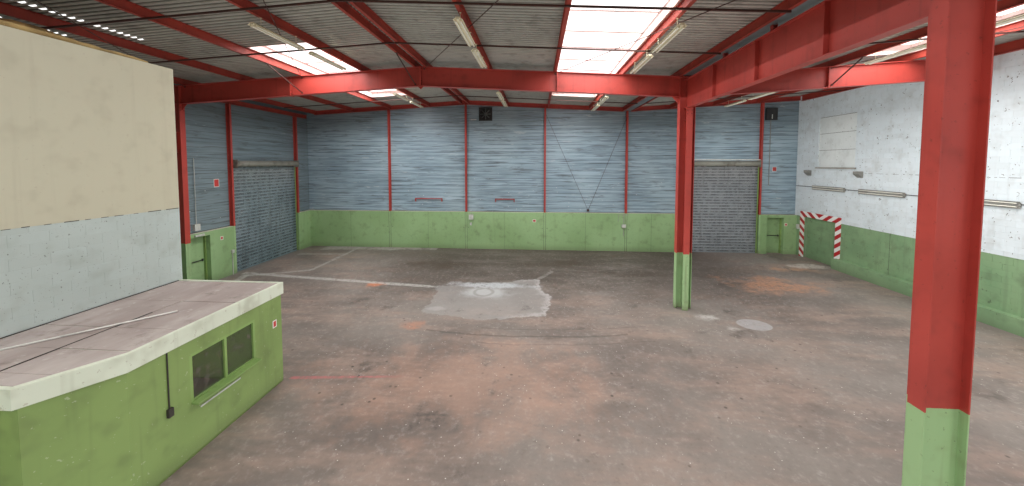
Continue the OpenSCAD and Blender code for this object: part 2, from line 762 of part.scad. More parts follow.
module shutter_a() { color(lath) at_left(shut_a) curtain(); }
module shutter_b() { color(lath) at_left(shut_b) curtain(); }
module shutter_c() { color(lath) at_north(shut_c) curtain(); }

module shutter_guides() {
  color([0.3, 0.42, 0.2]) {
    at_left(shut_a) guides();
    at_left(shut_b) guides();
    at_north(shut_c) guides();
  }
}

module shutter_rolls() {
  color([0.55, 0.57, 0.58]) {
    at_left(shut_a) roll();
    at_left(shut_b) roll();
    at_north(shut_c) roll();
  }
}

// door frame in an opening from 0 to w along +X and from 0 to t along +Y, its outer face at t
module door_frame(w, t, h) {
  for (x = [0, w - frame_w]) box([x, 0, 0], [x + frame_w, t, h - frame_w - cut]);
  box([0, 0, h - frame_w], [w, t, h]);
  translate([frame_w, t, 0]) for (z = hinge_z) hinge_pin(z);
}

// pin and lugs on the jamb, whose edge is at X = 0 and whose outer face is at Y = 0
module hinge_pin(z) {
  px = leaf_gap / 2;
  py = knuckle_r + seat;
  lug = 8;
  translate([px, py, z - lug]) cylinder(r = pin_r, h = knuckle_h + 2 * lug, $fn = 24);
  for (u = [z - lug - 1, z + knuckle_h + 1]) {
    translate([px, py, u]) cylinder(r = knuckle_r, h = lug, $fn = 24);
    box([-40, -e, u], [px, py + knuckle_r - 2, u + lug]);
  }
}

// door leaf with its knuckles and a push bar on the hall side
module door_leaf(w, t, h, tl, push) {
  x = frame_w + leaf_gap;
  x1 = w - frame_w - leaf_gap;
  px = x - leaf_gap / 2;
  py = t + knuckle_r + seat;
  yb = t - tl - 45;
  difference() {
    union() {
      box([x, t - tl, leaf_gap], [x1, t, h - frame_w - leaf_gap]);
      for (z = hinge_z) {
        translate([px, py, z]) cylinder(r = knuckle_r, h = knuckle_h, $fn = 24);
        box([px, t - e, z], [x + 40, t + knuckle_r - 1, z + knuckle_h]);
      }
    }
    for (z = hinge_z) translate([px, py, z - 1])
      cylinder(r = pin_r + run_gap, h = knuckle_h + 2, $fn = 24);
  }
  if (push) {
    box([x + 60, yb, push_z], [x1 - 60, yb + 25, push_z + 30]);
    for (u = [x + 60, x1 - 100]) box([u, yb, push_z - 20], [u + 40, t - tl + e, push_z + 50]);
  }
}

// the booth's doorway, seen from inside the booth
module at_booth() { translate([bdoor[0], booth_s + booth_t, f]) mirror([0, 1, 0]) children(); }

module door_frames() {
  color([0.28, 0.38, 0.2]) {
    at_left(door_l) door_frame(door_w, dado_t, door_h);
    at_north(door_n) door_frame(door_w, dado_t, door_h);
    at_booth() door_frame(bdoor[1] - bdoor[0], booth_t, bdoor_h);
  }
}

module left_door() { color(green) at_left(door_l) door_leaf(door_w, dado_t, door_h, leaf_t, true); }
module north_door() { color(green) at_north(door_n) door_leaf(door_w, dado_t, door_h, leaf_t, true); }
module booth_door() {
  color(green) at_booth() door_leaf(bdoor[1] - bdoor[0], booth_t, bdoor_h, leaf_t - 10, false);
}

// inner wall and its return to the left wall, between two heights
module inner_ell(z0, z1) {
  box([inner_x - inner_t, -y_in, z0], [inner_x, inner_y, z1]);
  box([x_clad, inner_y - inner_t, z0], [inner_x - inner_t - cut, inner_y, z1]);
}

module inner_wall() {
  xg = x_left - col_d / 2;
  color([0.86, 0.82, 0.68]) translate([0, 0, f]) difference() {
    inner_ell(inner_joint, inner_h);
    box([xg - 110, inner_y - inner_t - 1, side_z - 20], [xg + 110, inner_y + 1, side_z + side_d + 20]);
  }
}

module inner_wall_base() {
  color([0.8, 0.8, 0.74]) translate([0, 0, f]) inner_ell(0, inner_joint);
}

// loose wool on top of the inner wall, thick at the south and thin at the north
module wool_fringe() {
  color([0.55, 0.48, 0.33]) translate([inner_x - inner_t, 0, f]) rotate([90, 0, 90]) linear_extrude(inner_t)
    polygon([[-y_in, inner_h], [inner_y - 500, inner_h], [inner_y - 900, inner_h + 60],
      [inner_y - 4500, inner_h + wool_h], [-y_in, inner_h + wool_h]]);
}

// outline of the booth, moved out by o on its free sides
module booth_plan(o, back = 0) {
  polygon([[inner_x + back, booth_s - o], [cham[0] - o / 2, booth_s - o], [booth_x + o, cham[1] - o / 2],
    [booth_x + o, booth_n + o], [inner_x + back, booth_n + o]]);
}

module booth_walls() {
  h = booth_h - fascia;
  color(green) translate([0, 0, f]) difference() {
    linear_extrude(h) difference() {
      booth_plan(0);
      booth_plan(-booth_t, booth_t);
    }
    box([booth_x - booth_t - 1, win_y[0], win_z[0]], [booth_x + 1, win_y[1], win_z[1]]);
    box([bdoor[0], booth_s - 1, -1], [bdoor[1], booth_s + booth_t + 1, bdoor_h]);
  }
}

module booth_roof() {
  color([0.75, 0.75, 0.7]) translate([0, 0, f + booth_h - fascia]) linear_extrude(fascia) booth_plan(40);
}

module booth_window() {
  b = win_bar;
  xb = booth_x - booth_t;
  color([0.3, 0.42, 0.22]) translate([0, 0, f]) {
    difference() {
      box([xb, win_y[0], win_z[0]], [booth_x + e, win_y[1], win_z[1]]);
      box([xb - 1, win_y[0] + b, win_z[0] + b], [booth_x + 1, win_mid - b / 2, win_z[1] - b]);
      box([xb - 1, win_mid + b / 2, win_z[0] + b], [booth_x + 1, win_y[1] - b, win_z[1] - b]);
    }
    box([booth_x, win_y[0], win_z[0] - 5], [booth_x + shelf_w, win_y[1], win_z[0] + 20]);
  }
}

module booth_glass() {
  b = win_bar;
  xg = booth_x - booth_t / 2;
  color([0.6, 0.7, 0.75, 0.4]) translate([0, 0, f]) {
    box([xg - 3, win_y[0] + b, win_z[0] + b], [xg + 3, win_mid - b / 2, win_z[1] - b]);
    box([xg - 3, win_mid + b / 2, win_z[0] + b], [xg + 3, win_y[1] - b, win_z[1] - b]);
  }
}

module fan_housings() {
  s = fan_s;
  color([0.12, 0.12, 0.13]) translate([fan_x, y_in, f + fan_z]) {
    difference() {
      translate([-s / 2, -fan_plate, -s / 2]) cube([s, fan_plate, s]);
      translate([0, 10, 0]) rotate([90, 0, 0]) cylinder(r = fan_r + 25, h = 100, $fn = 48);
    }
    translate([-s / 2 + 10, -fan_back, -20]) cube([s - 20, fan_back, 40]);
    translate([0, -fan_back + 1, 0]) rotate([90, 0, 0]) cylinder(r = shaft_r, h = 35, $fn = 24);
  }
  color([0.12, 0.12, 0.13]) box([fan2_x[0], y_in - 120, f + fan2_z[0]], [fan2_x[1], y_in, f + fan2_z[1]]);
}

module fan_rotor() {
  hub_r = 75;
  color([0.7, 0.7, 0.68]) translate([fan_x, y_in - fan_back - 18, f + fan_z]) rotate([90, 0, 0]) {
    difference() {
      translate([0, 0, -10]) cylinder(r = hub_r, h = 20, $fn = 32);
      translate([0, 0, -11]) cylinder(r = shaft_r + run_gap, h = 22, $fn = 24);
    }
    for (k = [0 : blades - 1]) rotate([0, 0, 360 / blades * k]) translate([hub_r - 5, 0, 0])
      rotate([20, 0, 0]) translate([0, -28, -3]) cube([fan_r - hub_r - 5, 56, 6]);
  }
}

// three flat bands round an opening in the block wall
module stripe(y0, y1, h) {
  t = 12;
  for (y = [y0 - stripe_w, y1]) box([x_right - t, y, 0], [x_right, y + stripe_w, h - cut]);
  box([x_right - t, y0 - stripe_w, h], [x_right, y1 + stripe_w, h + stripe_w]);
}

module stripe_frames() {
  color([0.85, 0.3, 0.25]) translate([0, 0, f]) {
    stripe(gate_y[0], gate_y[1], gate_h);
    stripe(porch_y[0], porch_y[1], porch_h);
  }
}

floor_slab();
left_columns();
valley_columns();
main_rafters();
bay_rafters();
gable_rafters();
wall_posts();
portal_girders();
purlins();
eaves_beams();
roof_rods();
roof_sheets();
rooflights();
rooflight_kerbs();
ridge_cap();
gutters();
lamp_fittings();
left_cladding();
left_dado();
north_cladding();
north_dado();
south_cladding();
south_dado();
right_wall();
right_wall_base();
right_kerb();
shutter_a();
shutter_b();
shutter_c();
shutter_guides();
shutter_rolls();
door_frames();
left_door();
north_door();
inner_wall();
inner_wall_base();
wool_fringe();
booth_walls();
booth_roof();
booth_window();
booth_glass();
booth_door();
fan_housings();
fan_rotor();
stripe_frames();
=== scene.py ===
"""Finishes and fine pieces of the factory hall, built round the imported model.

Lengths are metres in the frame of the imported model: +Y points to the gable wall with the fan, +X to the
block wall, and the floor's surface is 0.2 above the origin.
"""
import logging
import math
import random
from collections.abc import Callable
from dataclasses import dataclass
from enum import Enum

import bmesh
import bpy
from bpy.types import ID, Collection, Material, Mesh, Node, NodeSocket, NodeTree, Object
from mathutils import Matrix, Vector


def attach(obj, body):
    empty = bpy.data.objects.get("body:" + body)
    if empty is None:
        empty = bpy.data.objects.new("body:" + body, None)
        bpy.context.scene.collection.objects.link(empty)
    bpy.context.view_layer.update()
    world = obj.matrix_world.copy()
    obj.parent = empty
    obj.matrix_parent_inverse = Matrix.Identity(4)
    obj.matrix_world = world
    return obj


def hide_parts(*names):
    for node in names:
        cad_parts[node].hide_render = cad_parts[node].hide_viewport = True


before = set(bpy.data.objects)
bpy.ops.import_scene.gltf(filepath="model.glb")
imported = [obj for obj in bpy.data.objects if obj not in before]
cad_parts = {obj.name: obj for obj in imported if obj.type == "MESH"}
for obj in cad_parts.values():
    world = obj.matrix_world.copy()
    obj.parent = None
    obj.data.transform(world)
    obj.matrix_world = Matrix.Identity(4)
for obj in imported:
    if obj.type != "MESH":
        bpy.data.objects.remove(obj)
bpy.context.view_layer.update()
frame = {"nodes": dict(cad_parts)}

LOG = logging.getLogger("hall")
Number = "Val | float"
TINY = 1e-6
Point = tuple[float, float, float]
Color = tuple[float, float, float]
Flat = tuple[float, float]
Region = tuple[float, float, float, float]
Face = tuple[int, ...]


def linear(color: Color) -> Color:
    """Returns the linear colour for a colour written as it looks on a screen, 0 to 255."""
    return tuple(((c / 255 + 0.055) / 1.055) ** 2.4 if c > 10 else c / 3295 for c in color)


@dataclass(frozen=True)
class Plan:
    """Main sizes of the hall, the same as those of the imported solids."""

    floor: float = 0.2
    half_span: float = 9.5
    left: float = -14.25
    ridge: float = -4.75
    valley: float = 4.75
    right: float = 14.25
    end: float = 16.25
    out: float = 16.41
    clad: float = -14.803
    clad_out: float = -14.963
    wall: float = 14.465
    dado: float = 2.45
    shutter_top: float = 5.1
    eaves: float = 8.41
    pitch: float = 0.056
    sheet: float = 0.04
    kerb: float = 0.24
    gutter: float = 0.2
    purlin_depth: float = 0.227
    rafter_depth: float = 0.93
    bay: float = 8.0
    frames: tuple[float, ...] = (8.0, 0.0, -8.0)
    shut_a: Flat = (3.45, 7.65)
    shut_b: Flat = (10.68, 14.88)
    shut_c: Flat = (7.9, 12.1)
    door_left: float = 8.4
    door_north: float = 12.65
    gate: Flat = (-0.9, 1.5)
    gate_top: float = 2.8
    porch: Flat = (13.5, 15.5)
    porch_top: float = 2.45
    window: Flat = (12.6, 14.77)
    window_z: Flat = (5.18, 7.75)
    corbels: tuple[float, ...] = (15.3, 12.3, 9.25, 6.2)
    corbel_z: float = 4.86
    fan: Flat = (-3.56, 8.33)
    inner: float = -9.066
    inner_end: float = 3.021
    inner_joint: float = 4.3
    booth: Flat = (-6.5, 2.94)
    booth_south: float = -1.0
    booth_top: float = 2.57

    def roof(self, x: float) -> float:
        """Underside of the roof sheets at x."""
        run = self.half_span - abs(x - self.ridge) if x < self.valley else x - self.valley
        return self.floor + self.eaves + self.pitch * run

    def purlin(self, x: float) -> float:
        """Underside of a purlin at x."""
        return self.roof(x) - self.purlin_depth

    def rafter(self, x: float) -> float:
        """Underside of a main rafter at x."""
        return self.roof(x) - self.rafter_depth


PLAN = Plan()
PURLIN_STEP, PURLIN_SHIFT, RIDGE_OFF = PLAN.half_span / 4, 0.175, 0.2
PURLIN_X = [PLAN.ridge + PURLIN_SHIFT + i * PURLIN_STEP for i in (-4, -3, -2, -1, 1, 2, 3)]
BAY_PURLIN_X = [PLAN.valley + i * PURLIN_STEP for i in (1, 2, 3)]
LIGHTS = [
    (PURLIN_X[2], PURLIN_X[3], 5.4, 13.5), (PURLIN_X[2], PURLIN_X[3], -13.5, -5.4),
    (PURLIN_X[5], PURLIN_X[6], 2.7, 13.5), (PURLIN_X[5], PURLIN_X[6], -13.5, -2.7),
    (BAY_PURLIN_X[1], BAY_PURLIN_X[2], -2.5, 7.85), (BAY_PURLIN_X[1], BAY_PURLIN_X[2], -13.5, -5.4)]
LIGHT_EDGE = 0.06


class Axis(Enum):
    """The axis along which an outline is drawn out, or that a face looks along."""

    X = 0
    Y = 1
    Z = 2


# Shader graphs


class Val:
    """A shader socket that takes part in sums."""

    def __init__(self, graph: "Nodes", socket: NodeSocket) -> None:
        """Keeps the graph that the socket belongs to."""
        self.graph, self.socket = graph, socket

    def __add__(self, other: Number) -> "Val":
        """self + other."""
        return self.graph.math("ADD", self, other)

    __radd__ = __add__

    def __mul__(self, other: Number) -> "Val":
        """self * other."""
        return self.graph.math("MULTIPLY", self, other)

    __rmul__ = __mul__

    def __sub__(self, other: Number) -> "Val":
        """self - other."""
        return self.graph.math("SUBTRACT", self, other)

    def __rsub__(self, other: Number) -> "Val":
        """other - self."""
        return self.graph.math("SUBTRACT", other, self)

    def __truediv__(self, other: Number) -> "Val":
        """self / other."""
        return self.graph.math("DIVIDE", self, other)

    def __gt__(self, other: Number) -> "Val":
        """1 where self is greater."""
        return self.graph.math("GREATER_THAN", self, other)

    def __lt__(self, other: Number) -> "Val":
        """1 where self is less."""
        return self.graph.math("LESS_THAN", self, other)

    def step(self, low: float, high: float) -> "Val":
        """Rises smoothly from 0 at low to 1 at high."""
        node = self.graph.node("ShaderNodeMapRange", {"interpolation_type": "SMOOTHSTEP"},
                               {0: self, 1: low, 2: high, 3: 0.0, 4: 1.0})
        return Val(self.graph, node.outputs[0])

    def repeat(self, length: float) -> "Val":
        """Position within a period, from 0 to 1."""
        return self.graph.math("FRACT", self / length)

    def away(self, centre: float) -> "Val":
        """Distance from a value."""
        return self.graph.math("ABSOLUTE", self - centre)

    def whole(self) -> "Val":
        """Next whole number below."""
        return self.graph.math("FLOOR", self)


class Nodes:
    """Shader tree of a material or of the surroundings."""

    def __init__(self, tree: NodeTree) -> None:
        """Starts with an empty tree."""
        self.tree = tree
        self.tree.nodes.clear()

    def node(self, kind: str, settings: dict | None = None, values: dict | None = None) -> Node:
        """Adds a node.

        Args:
            kind: the node's type.
            settings: attributes that are set before the sockets.
            values: socket name or number, with a value or a Val to link.

        Returns:
            The new node.
        """
        made = self.tree.nodes.new(kind)
        for key, value in (settings or {}).items():
            setattr(made, key, value)
        for key, value in (values or {}).items():
            if isinstance(value, Val):
                self.tree.links.new(value.socket, made.inputs[key])
            elif isinstance(value, tuple) and made.inputs[key].type == "RGBA":
                made.inputs[key].default_value = (*linear(value), 1.0)
            else:
                made.inputs[key].default_value = value
        return made

    def math(self, operation: str, first: Number, second: Number = 0.0) -> Val:
        """One sum on numbers."""
        made = self.node("ShaderNodeMath", {"operation": operation}, {0: first, 1: second})
        return Val(self, made.outputs[0])

    def most(self, first: Number, second: Number) -> Val:
        """The greater of two numbers."""
        return self.math("MAXIMUM", first, second)


class Graph(Nodes):
    """Builds the nodes of one material."""

    def __init__(self, name: str) -> None:
        """Starts an empty material with its object coordinates."""
        self.material = bpy.data.materials.new(name)
        self.material.use_nodes = True
        super().__init__(self.material.node_tree)
        self.place = Val(self, self.node("ShaderNodeTexCoord").outputs["Object"])
        parts = self.node("ShaderNodeSeparateXYZ", None, {0: self.place})
        self.x, self.y, self.z = (Val(self, parts.outputs[i]) for i in range(3))

    def stretched(self, by: Point) -> Val:
        """Object coordinates scaled by a different amount on each axis."""
        made = self.node("ShaderNodeVectorMath", {"operation": "MULTIPLY"}, {0: self.place, 1: by})
        return Val(self, made.outputs[0])

    def length(self, of: Val) -> Val:
        """Length of a vector."""
        made = self.node("ShaderNodeVectorMath", {"operation": "LENGTH"}, {0: of})
        return Val(self, made.outputs["Value"])

    def along(self, ux: float, uy: float, x: float, y: float) -> Val:
        """Distance from x, y along the level direction ux, uy."""
        made = self.node("ShaderNodeVectorMath", {"operation": "DOT_PRODUCT"},
                         {0: self.place, 1: (ux, uy, 0.0)})
        return Val(self, made.outputs["Value"]) - (x * ux + y * uy)

    def noise(self, scale: float, detail: float = 3.0, rough: float = 0.55, by: Point | None = None) -> Val:
        """Cloudy noise from 0 to 1.

        Args:
            scale: how many clouds to a metre.
            detail: octaves of finer clouds.
            rough: strength of the finer clouds.
            by: stretch of each axis before the scale.

        Returns:
            The noise's value.
        """
        made = self.node("ShaderNodeTexNoise", None, {
            "Vector": self.stretched(by) if by else self.place,
            "Scale": scale, "Detail": detail, "Roughness": rough})
        return Val(self, made.outputs[0])

    def cells(self, scale: float, by: Point | None = None) -> Val:
        """Distance to the nearest of scattered points."""
        made = self.node("ShaderNodeTexVoronoi", None, {
            "Vector": self.stretched(by) if by else self.place, "Scale": scale})
        return Val(self, made.outputs[0])

    def block_tone(self, length: float = 0.5, course: float = 0.2) -> Val:
        """Random number from 0 to 1 of each block of a wall along Y, laid in running bond."""
        row = ((self.z - PLAN.floor) / course).whole()
        place = (self.y / length - (row * 0.5).repeat(1.0)).whole()
        made = self.node("ShaderNodeCombineXYZ", None, {0: place, 1: row, 2: 0.0})
        made = self.node("ShaderNodeTexWhiteNoise", None, {"Vector": Val(self, made.outputs[0])})
        return Val(self, made.outputs[0])

    def facing(self) -> list[Val]:
        """The three parts of the direction that the surface faces."""
        made = self.node("ShaderNodeSeparateXYZ", None,
                         {0: Val(self, self.node("ShaderNodeTexCoord").outputs["Normal"])})
        return [Val(self, made.outputs[i]) for i in range(3)]

    def above_roof(self) -> Val:
        """Height above the underside of the roof sheets."""
        slope = (self.x.away(PLAN.ridge) - (PLAN.valley - PLAN.ridge)).away(0.0)
        return self.z - (slope * PLAN.pitch + (PLAN.floor + PLAN.eaves))

    def mix(self, factor: Number, first: "Val | Color", second: "Val | Color") -> Val:
        """Colour that goes from first to second as the factor goes from 0 to 1."""
        made = self.node("ShaderNodeMix", {"data_type": "RGBA"}, {0: factor, 6: first, 7: second})
        return Val(self, made.outputs[2])

    def blend(self, factor: Number, first: Number, second: Number) -> Val:
        """Number that goes from first to second as the factor goes from 0 to 1."""
        made = self.node("ShaderNodeMix", {"data_type": "FLOAT"}, {0: factor, 2: first, 3: second})
        return Val(self, made.outputs[0])

    def surface(self, color: "Val | Color", rough: Number = 0.6, bump: Val | None = None,
                depth: float = 0.002, **fixed: float) -> Material:
        """Ends the graph in one surface shader.

        Args:
            color: base colour.
            rough: roughness.
            bump: height from 0 to 1, where the surface is uneven.
            depth: height of that unevenness in metres.
            fixed: other sockets of the shader, with underscores for spaces.

        Returns:
            The finished material.
        """
        values = {"Base Color": color, "Roughness": rough}
        if bump is not None:
            made = self.node("ShaderNodeBump", None, {"Strength": 0.8, "Distance": depth, "Height": bump})
            values["Normal"] = Val(self, made.outputs[0])
        values.update({key.replace("_", " "): value for key, value in fixed.items()})
        shader = self.node("ShaderNodeBsdfPrincipled", None, values)
        self.node("ShaderNodeOutputMaterial", None, {0: Val(self, shader.outputs[0])})
        return self.material


@dataclass(frozen=True)
class Paint:
    """Paint, coated sheet or bare block: two tones, grime, runs and chips, with a band of another colour, and
    painted shade in the hollows of the roof sheets' ribs.
    """

    name: str
    color: Color
    tint: Color
    grime: Color = (70, 62, 52)
    chip: Color = (120, 80, 55)
    rough: float = 0.55
    metal: float = 0.0
    blotch: float = 0.7
    tinting: float = 0.6
    dirt: float = 0.35
    runs: float = 0.25
    chips: float = 0.5
    chip_size: float = 14.0
    low_color: Color | None = None
    low_top: float = 0.0
    outer: Color | None = None
    top: Color | None = None
    # crest: strength of the painted shade in the hollows of the roof sheets' ribs
    crest: float = 0.0
    blocks: float = 0.0
    ledge: float = 0.0
    foot: float = 0.35
    uneven: float = 0.0
    grain: float = 45.0

    def material(self) -> Material:
        """Builds the material of this paint."""
        g = Graph(self.name)
        color = g.mix(g.noise(self.blotch, 1.0, 0.6).step(0.35, 0.7) * self.tinting, self.color, self.tint)
        fine = g.noise(self.grain, 1.0, 0.7)
        if self.low_color:
            color = g.mix(g.z + fine * 0.008 < self.low_top, color, self.low_color)
        if self.outer:
            ends = g.y.away(0.0) > PLAN.end + 0.1
            outside = g.most(g.most(ends, g.x < PLAN.clad - 0.1), g.x > PLAN.wall - 0.1)
            color = g.mix(outside, color, self.outer)
        # Painted shade: the ribs' hollows, which stand higher above the roof's underside, are darkened
        if self.crest:
            color = g.mix(g.above_roof().step(0.01, 0.03) * self.crest, color, RIB_SHADE)
        if self.top:
            color = g.mix(g.facing()[2] > 0.3, color, self.top)
        if self.blocks:
            color = g.mix(g.block_tone() * self.blocks, color, self.grime)
        if self.runs:
            runs = g.noise(1.0, 2.0, 0.6, (7.0, 7.0, 0.35)).step(0.54, 0.76) * self.runs
            color = g.mix(runs, color, self.grime)
        dirt = g.noise(2.3, 2.0, 0.65).step(0.48, 0.78) * self.dirt
        if self.foot:
            low = (1.0 - (g.z - PLAN.floor).step(0.0, 0.4)) * self.foot
            dirt = g.most(dirt, low * (0.5 + fine))
        color = g.mix(dirt, color, self.grime)
        if self.chips:
            chips = g.noise(self.chip_size, 2.0, 0.7).step(0.675, 0.7) * self.chips
            color = g.mix(chips, color, self.chip)
        if self.ledge:
            color = g.mix((g.z > self.ledge) * (0.35 + fine), color, LEDGE_DUST)
        bump = fine if self.uneven else None
        return g.surface(color, self.rough + 0.2 * dirt, bump, self.uneven, Metallic=self.metal)


@dataclass(frozen=True)
class Sheet:
    """Coated metal sheet in courses: tone changes from course to course, dark laps, pale marks and rust, with
    painted shade on the left wall, along the foot and beside the outer ribs.
    """

    name: str
    color: Color
    tint: Color
    # lap: colour of the dark laps and dashes, also used for the painted shade beside the outer ribs
    lap: Color = (62, 66, 70)
    mark: Color = (225, 228, 228)
    pale: Color = (186, 206, 214)
    course: float = 0.45
    base: float = 2.45
    along: Point = (0.25, 0.25, 9.0)
    marks: float = 1.0
    laps: float = 1.0
    ribs: float = 0.0
    rib_foot: float = 0.142
    rough: float = 0.45

    def material(self) -> Material:
        """Builds the material of this sheet."""
        g = Graph(self.name)
        band = g.noise(1.0, 3.0, 0.75, self.along)
        color = g.mix(band.step(0.36, 0.64), self.color, self.tint)
        color = g.mix(g.noise(0.35, 2.0, 0.5).step(0.4, 0.7) * 0.35, color, self.pale)
        if self.laps:
            color = self.lapped_and_shaded(g, color)
        if self.ribs:
            # Painted shade: dark lines beside each upright rib of the outer sheet, where its webs turn
            out = g.most(g.y.away(0.0) - PLAN.end, PLAN.clad - g.x)
            color = g.mix((1.0 - out.away(self.rib_foot).step(0.004, 0.02)) * self.ribs, color, self.lap)
        low = 1.0 - (g.z - self.base).step(1.2, 3.8)
        color = g.mix((1.0 - g.cells(3.4).step(0.05, 0.07)) * low * self.marks, color, self.mark)
        scuff = g.noise(1.4, 3.0, 0.75, (0.6, 0.6, 3.5) if self.laps else (3.5, 3.5, 0.6))
        color = g.mix(scuff.step(0.64, 0.7) * 0.22, color, self.mark)
        grime = scuff.step(0.42, 0.3) * 0.45
        color = g.mix(grime, color, (84, 84, 80))
        return g.surface(color, self.rough + 0.25 * grime, Metallic=0.15)

    def lapped_and_shaded(self, g: Graph, color: Val) -> Val:
        """Adds the laps of the courses, painted shade on the left wall, a darker tone towards the top and a
        painted shadow along the foot.

        Args:
            g: the sheet's graph.
            color: the colour so far.

        Returns:
            The new colour.
        """
        at = (g.z - self.base).repeat(self.course)
        patch = g.noise(1.0, 2.0, 0.6, (0.7, 0.7, 3.0))
        lap = (1.0 - at.away(0.0).step(0.02, 0.075)) * patch.step(0.4, 0.6)
        mid = (1.0 - at.away(0.52).step(0.01, 0.05)) * patch.step(0.6, 0.5)
        color = g.mix(g.most(lap * 0.8, mid * 0.45) * self.laps, color, self.lap)
        dash = g.noise(1.0, 2.0, 0.6, (0.5, 0.5, 15.0)).step(0.57, 0.66) * 0.6
        color = g.mix(dash, color, self.lap)
        # Painted shade: the lining of the left wall is made darker
        color = g.mix((g.x < PLAN.clad + 0.01) * 0.6, color, (94, 104, 104))
        color = g.mix(g.z.step(6.2, 8.8) * 0.4, color, (98, 102, 100))
        # Painted shadow: a dark strip along the foot of the lining, over the top of the dado
        return g.mix((g.z < self.base + 0.03) * 0.8, color, (44, 44, 42))


@dataclass(frozen=True)
class Concrete:
    """Worn floor: oil, cement patches with a ring, pale and red lines, tyre arcs and orange stains."""

    name: str = "worn_concrete"
    outline: tuple[Flat, ...] = ((-4.57, 9.5), (-0.41, 10.7), (0.17, 8.03), (-0.21, 6.97), (-2.18, 6.45),
                                 (-4.45, 6.88))
    tyre_radius: float = 18.55
    tyre_track: float = 0.45

    def reach(self, g: Graph, x: float, y: float, wide: float, deep: float) -> Val:
        """Distance from x, y in units of the half widths."""
        made = g.node("ShaderNodeVectorMath", {"operation": "MULTIPLY_ADD"}, {
            0: g.place, 1: (1 / wide, 1 / deep, 0.0), 2: (-x / wide, -y / deep, 0.0)})
        return g.length(Val(g, made.outputs[0]))

    def inside(self, g: Graph) -> Val:
        """Distance inside the outline of the great patch, in metres, negative outside."""
        near = None
        for (ax, ay), (bx, by) in zip(self.outline, self.outline[1:] + self.outline[:1]):
            run = math.hypot(bx - ax, by - ay)
            side = g.along((by - ay) / run, (ax - bx) / run, ax, ay)
            near = side if near is None else g.math("MINIMUM", near, side)
        return near

    def material(self) -> Material:
        """Builds the floor's material."""
        g = Graph(self.name)
        broad, mid, fine = g.noise(0.22, 3.0, 0.6), g.noise(0.9, 5.0, 0.7), g.noise(7.0, 3.0, 0.75)
        streak = g.noise(0.6, 4.0, 0.7, (0.5, 1.6, 1.0))
        wobble = mid - 0.5
        color = g.mix(broad.step(0.36, 0.62), (126, 118, 111), (105, 96, 90))
        color = g.mix(streak.step(0.42, 0.7) * 0.7, color, (148, 128, 116))
        dark = (g.y + wobble * 5.0).step(6.5, 11.5) * (1.0 - g.x.away(1.0).step(6.0, 11.0))
        color = g.mix(dark * (0.35 + 0.55 * streak.step(0.35, 0.6)), color, (76, 69, 63))
        color = g.mix(fine.step(0.5, 0.8) * 0.35, color, (174, 167, 160))
        color = g.mix((1.0 - fine).step(0.52, 0.8) * 0.35, color, (84, 76, 70))
        wear = fine.step(0.38, 0.5)
        for marks in (self.patches, self.stains, self.lines):
            for mask, tone in marks(g, wobble, wear):
                color = g.mix(mask, color, tone)
        oil = mid.step(0.6, 0.7) * 0.55
        color = g.mix(oil, color, (66, 58, 54))
        drops = g.cells(2.9)
        color = g.mix((1.0 - drops.step(0.06, 0.14)) * streak.step(0.45, 0.6) * 0.7, color, (50, 45, 43))
        grit = g.cells(7.0)
        color = g.mix((1.0 - grit.step(0.06, 0.09)) * mid.step(0.4, 0.54) * 0.8, color, (212, 207, 199))
        outside = g.most(g.x.away(0.0) > PLAN.wall + 0.005, g.y.away(0.0) > PLAN.end + 0.05)
        color = g.mix(outside, color, (120, 116, 110))
        return g.surface(color, 0.66 - 0.2 * oil)

    def spots(self, g: Graph, wobble: Val, rows: list[tuple]) -> list[tuple[Val, Color]]:
        """Masks and colours of patches: middle, half widths, unevenness, softness, strength, colour."""
        return [((1.0 - (self.reach(g, *spot) + wobble * uneven).step(1.0 - soft, 1.0)) * strength, tone)
                for *spot, uneven, soft, strength, tone in rows]

    def patches(self, g: Graph, wobble: Val, wear: Val) -> list[tuple[Val, Color]]:
        """Dark ground beyond the middle, and the cement patches with the ring and a painted highlight on the
        great patch's east rim.

        Args:
            g: the floor's graph.
            wobble: unevenness of the edges, round 0.
            wear: where paint and dust have stayed, 0 to 1.

        Returns:
            Each patch's mask and colour, the lowest first.
        """
        brown, worn = (72, 58, 48), wear * 0.35 + 0.2
        rim = self.inside(g) + wobble * 0.9
        # Painted highlight: a paler rim along the east side of the great patch, patchy where worn
        edge = rim.step(0.0, 0.05) * (1.0 - rim.step(0.1, 0.4)) * wear * g.x.step(-2.5, 0.0) * 0.5
        ring = self.reach(g, -2.59, 8.95, 0.36, 0.4) + wobble * 0.6
        return self.spots(g, wobble, [
            (-5.4, 12.6, 2.6, 1.1, 3.0, 0.9, 0.6, brown),
            (0.8, 13.2, 3.4, 0.9, 3.0, 0.9, 0.5, brown),
            (4.2, 11.6, 1.8, 0.7, 3.0, 0.9, 0.45, brown),
        ]) + [
            (rim.step(0.0, 0.06) * 0.5, (148, 146, 143)),
            # the painted highlight on the patch's east rim
            (edge, (176, 172, 170)),
        ] + self.spots(g, wobble, [
            (-2.4, 9.75, 2.1, 0.42, 2.2, 0.7, worn * 1.1, (186, 192, 195)),
            (-2.5, 8.9, 1.4, 0.75, 1.6, 0.7, 0.45, (192, 196, 196)),
            (-4.0, 7.25, 0.6, 0.25, 2.6, 0.6, 0.25, (184, 182, 180)),
        ]) + [((1.0 - (ring - 1.0).away(0.0).step(0.05, 0.3)) * 0.5, (122, 118, 110))]

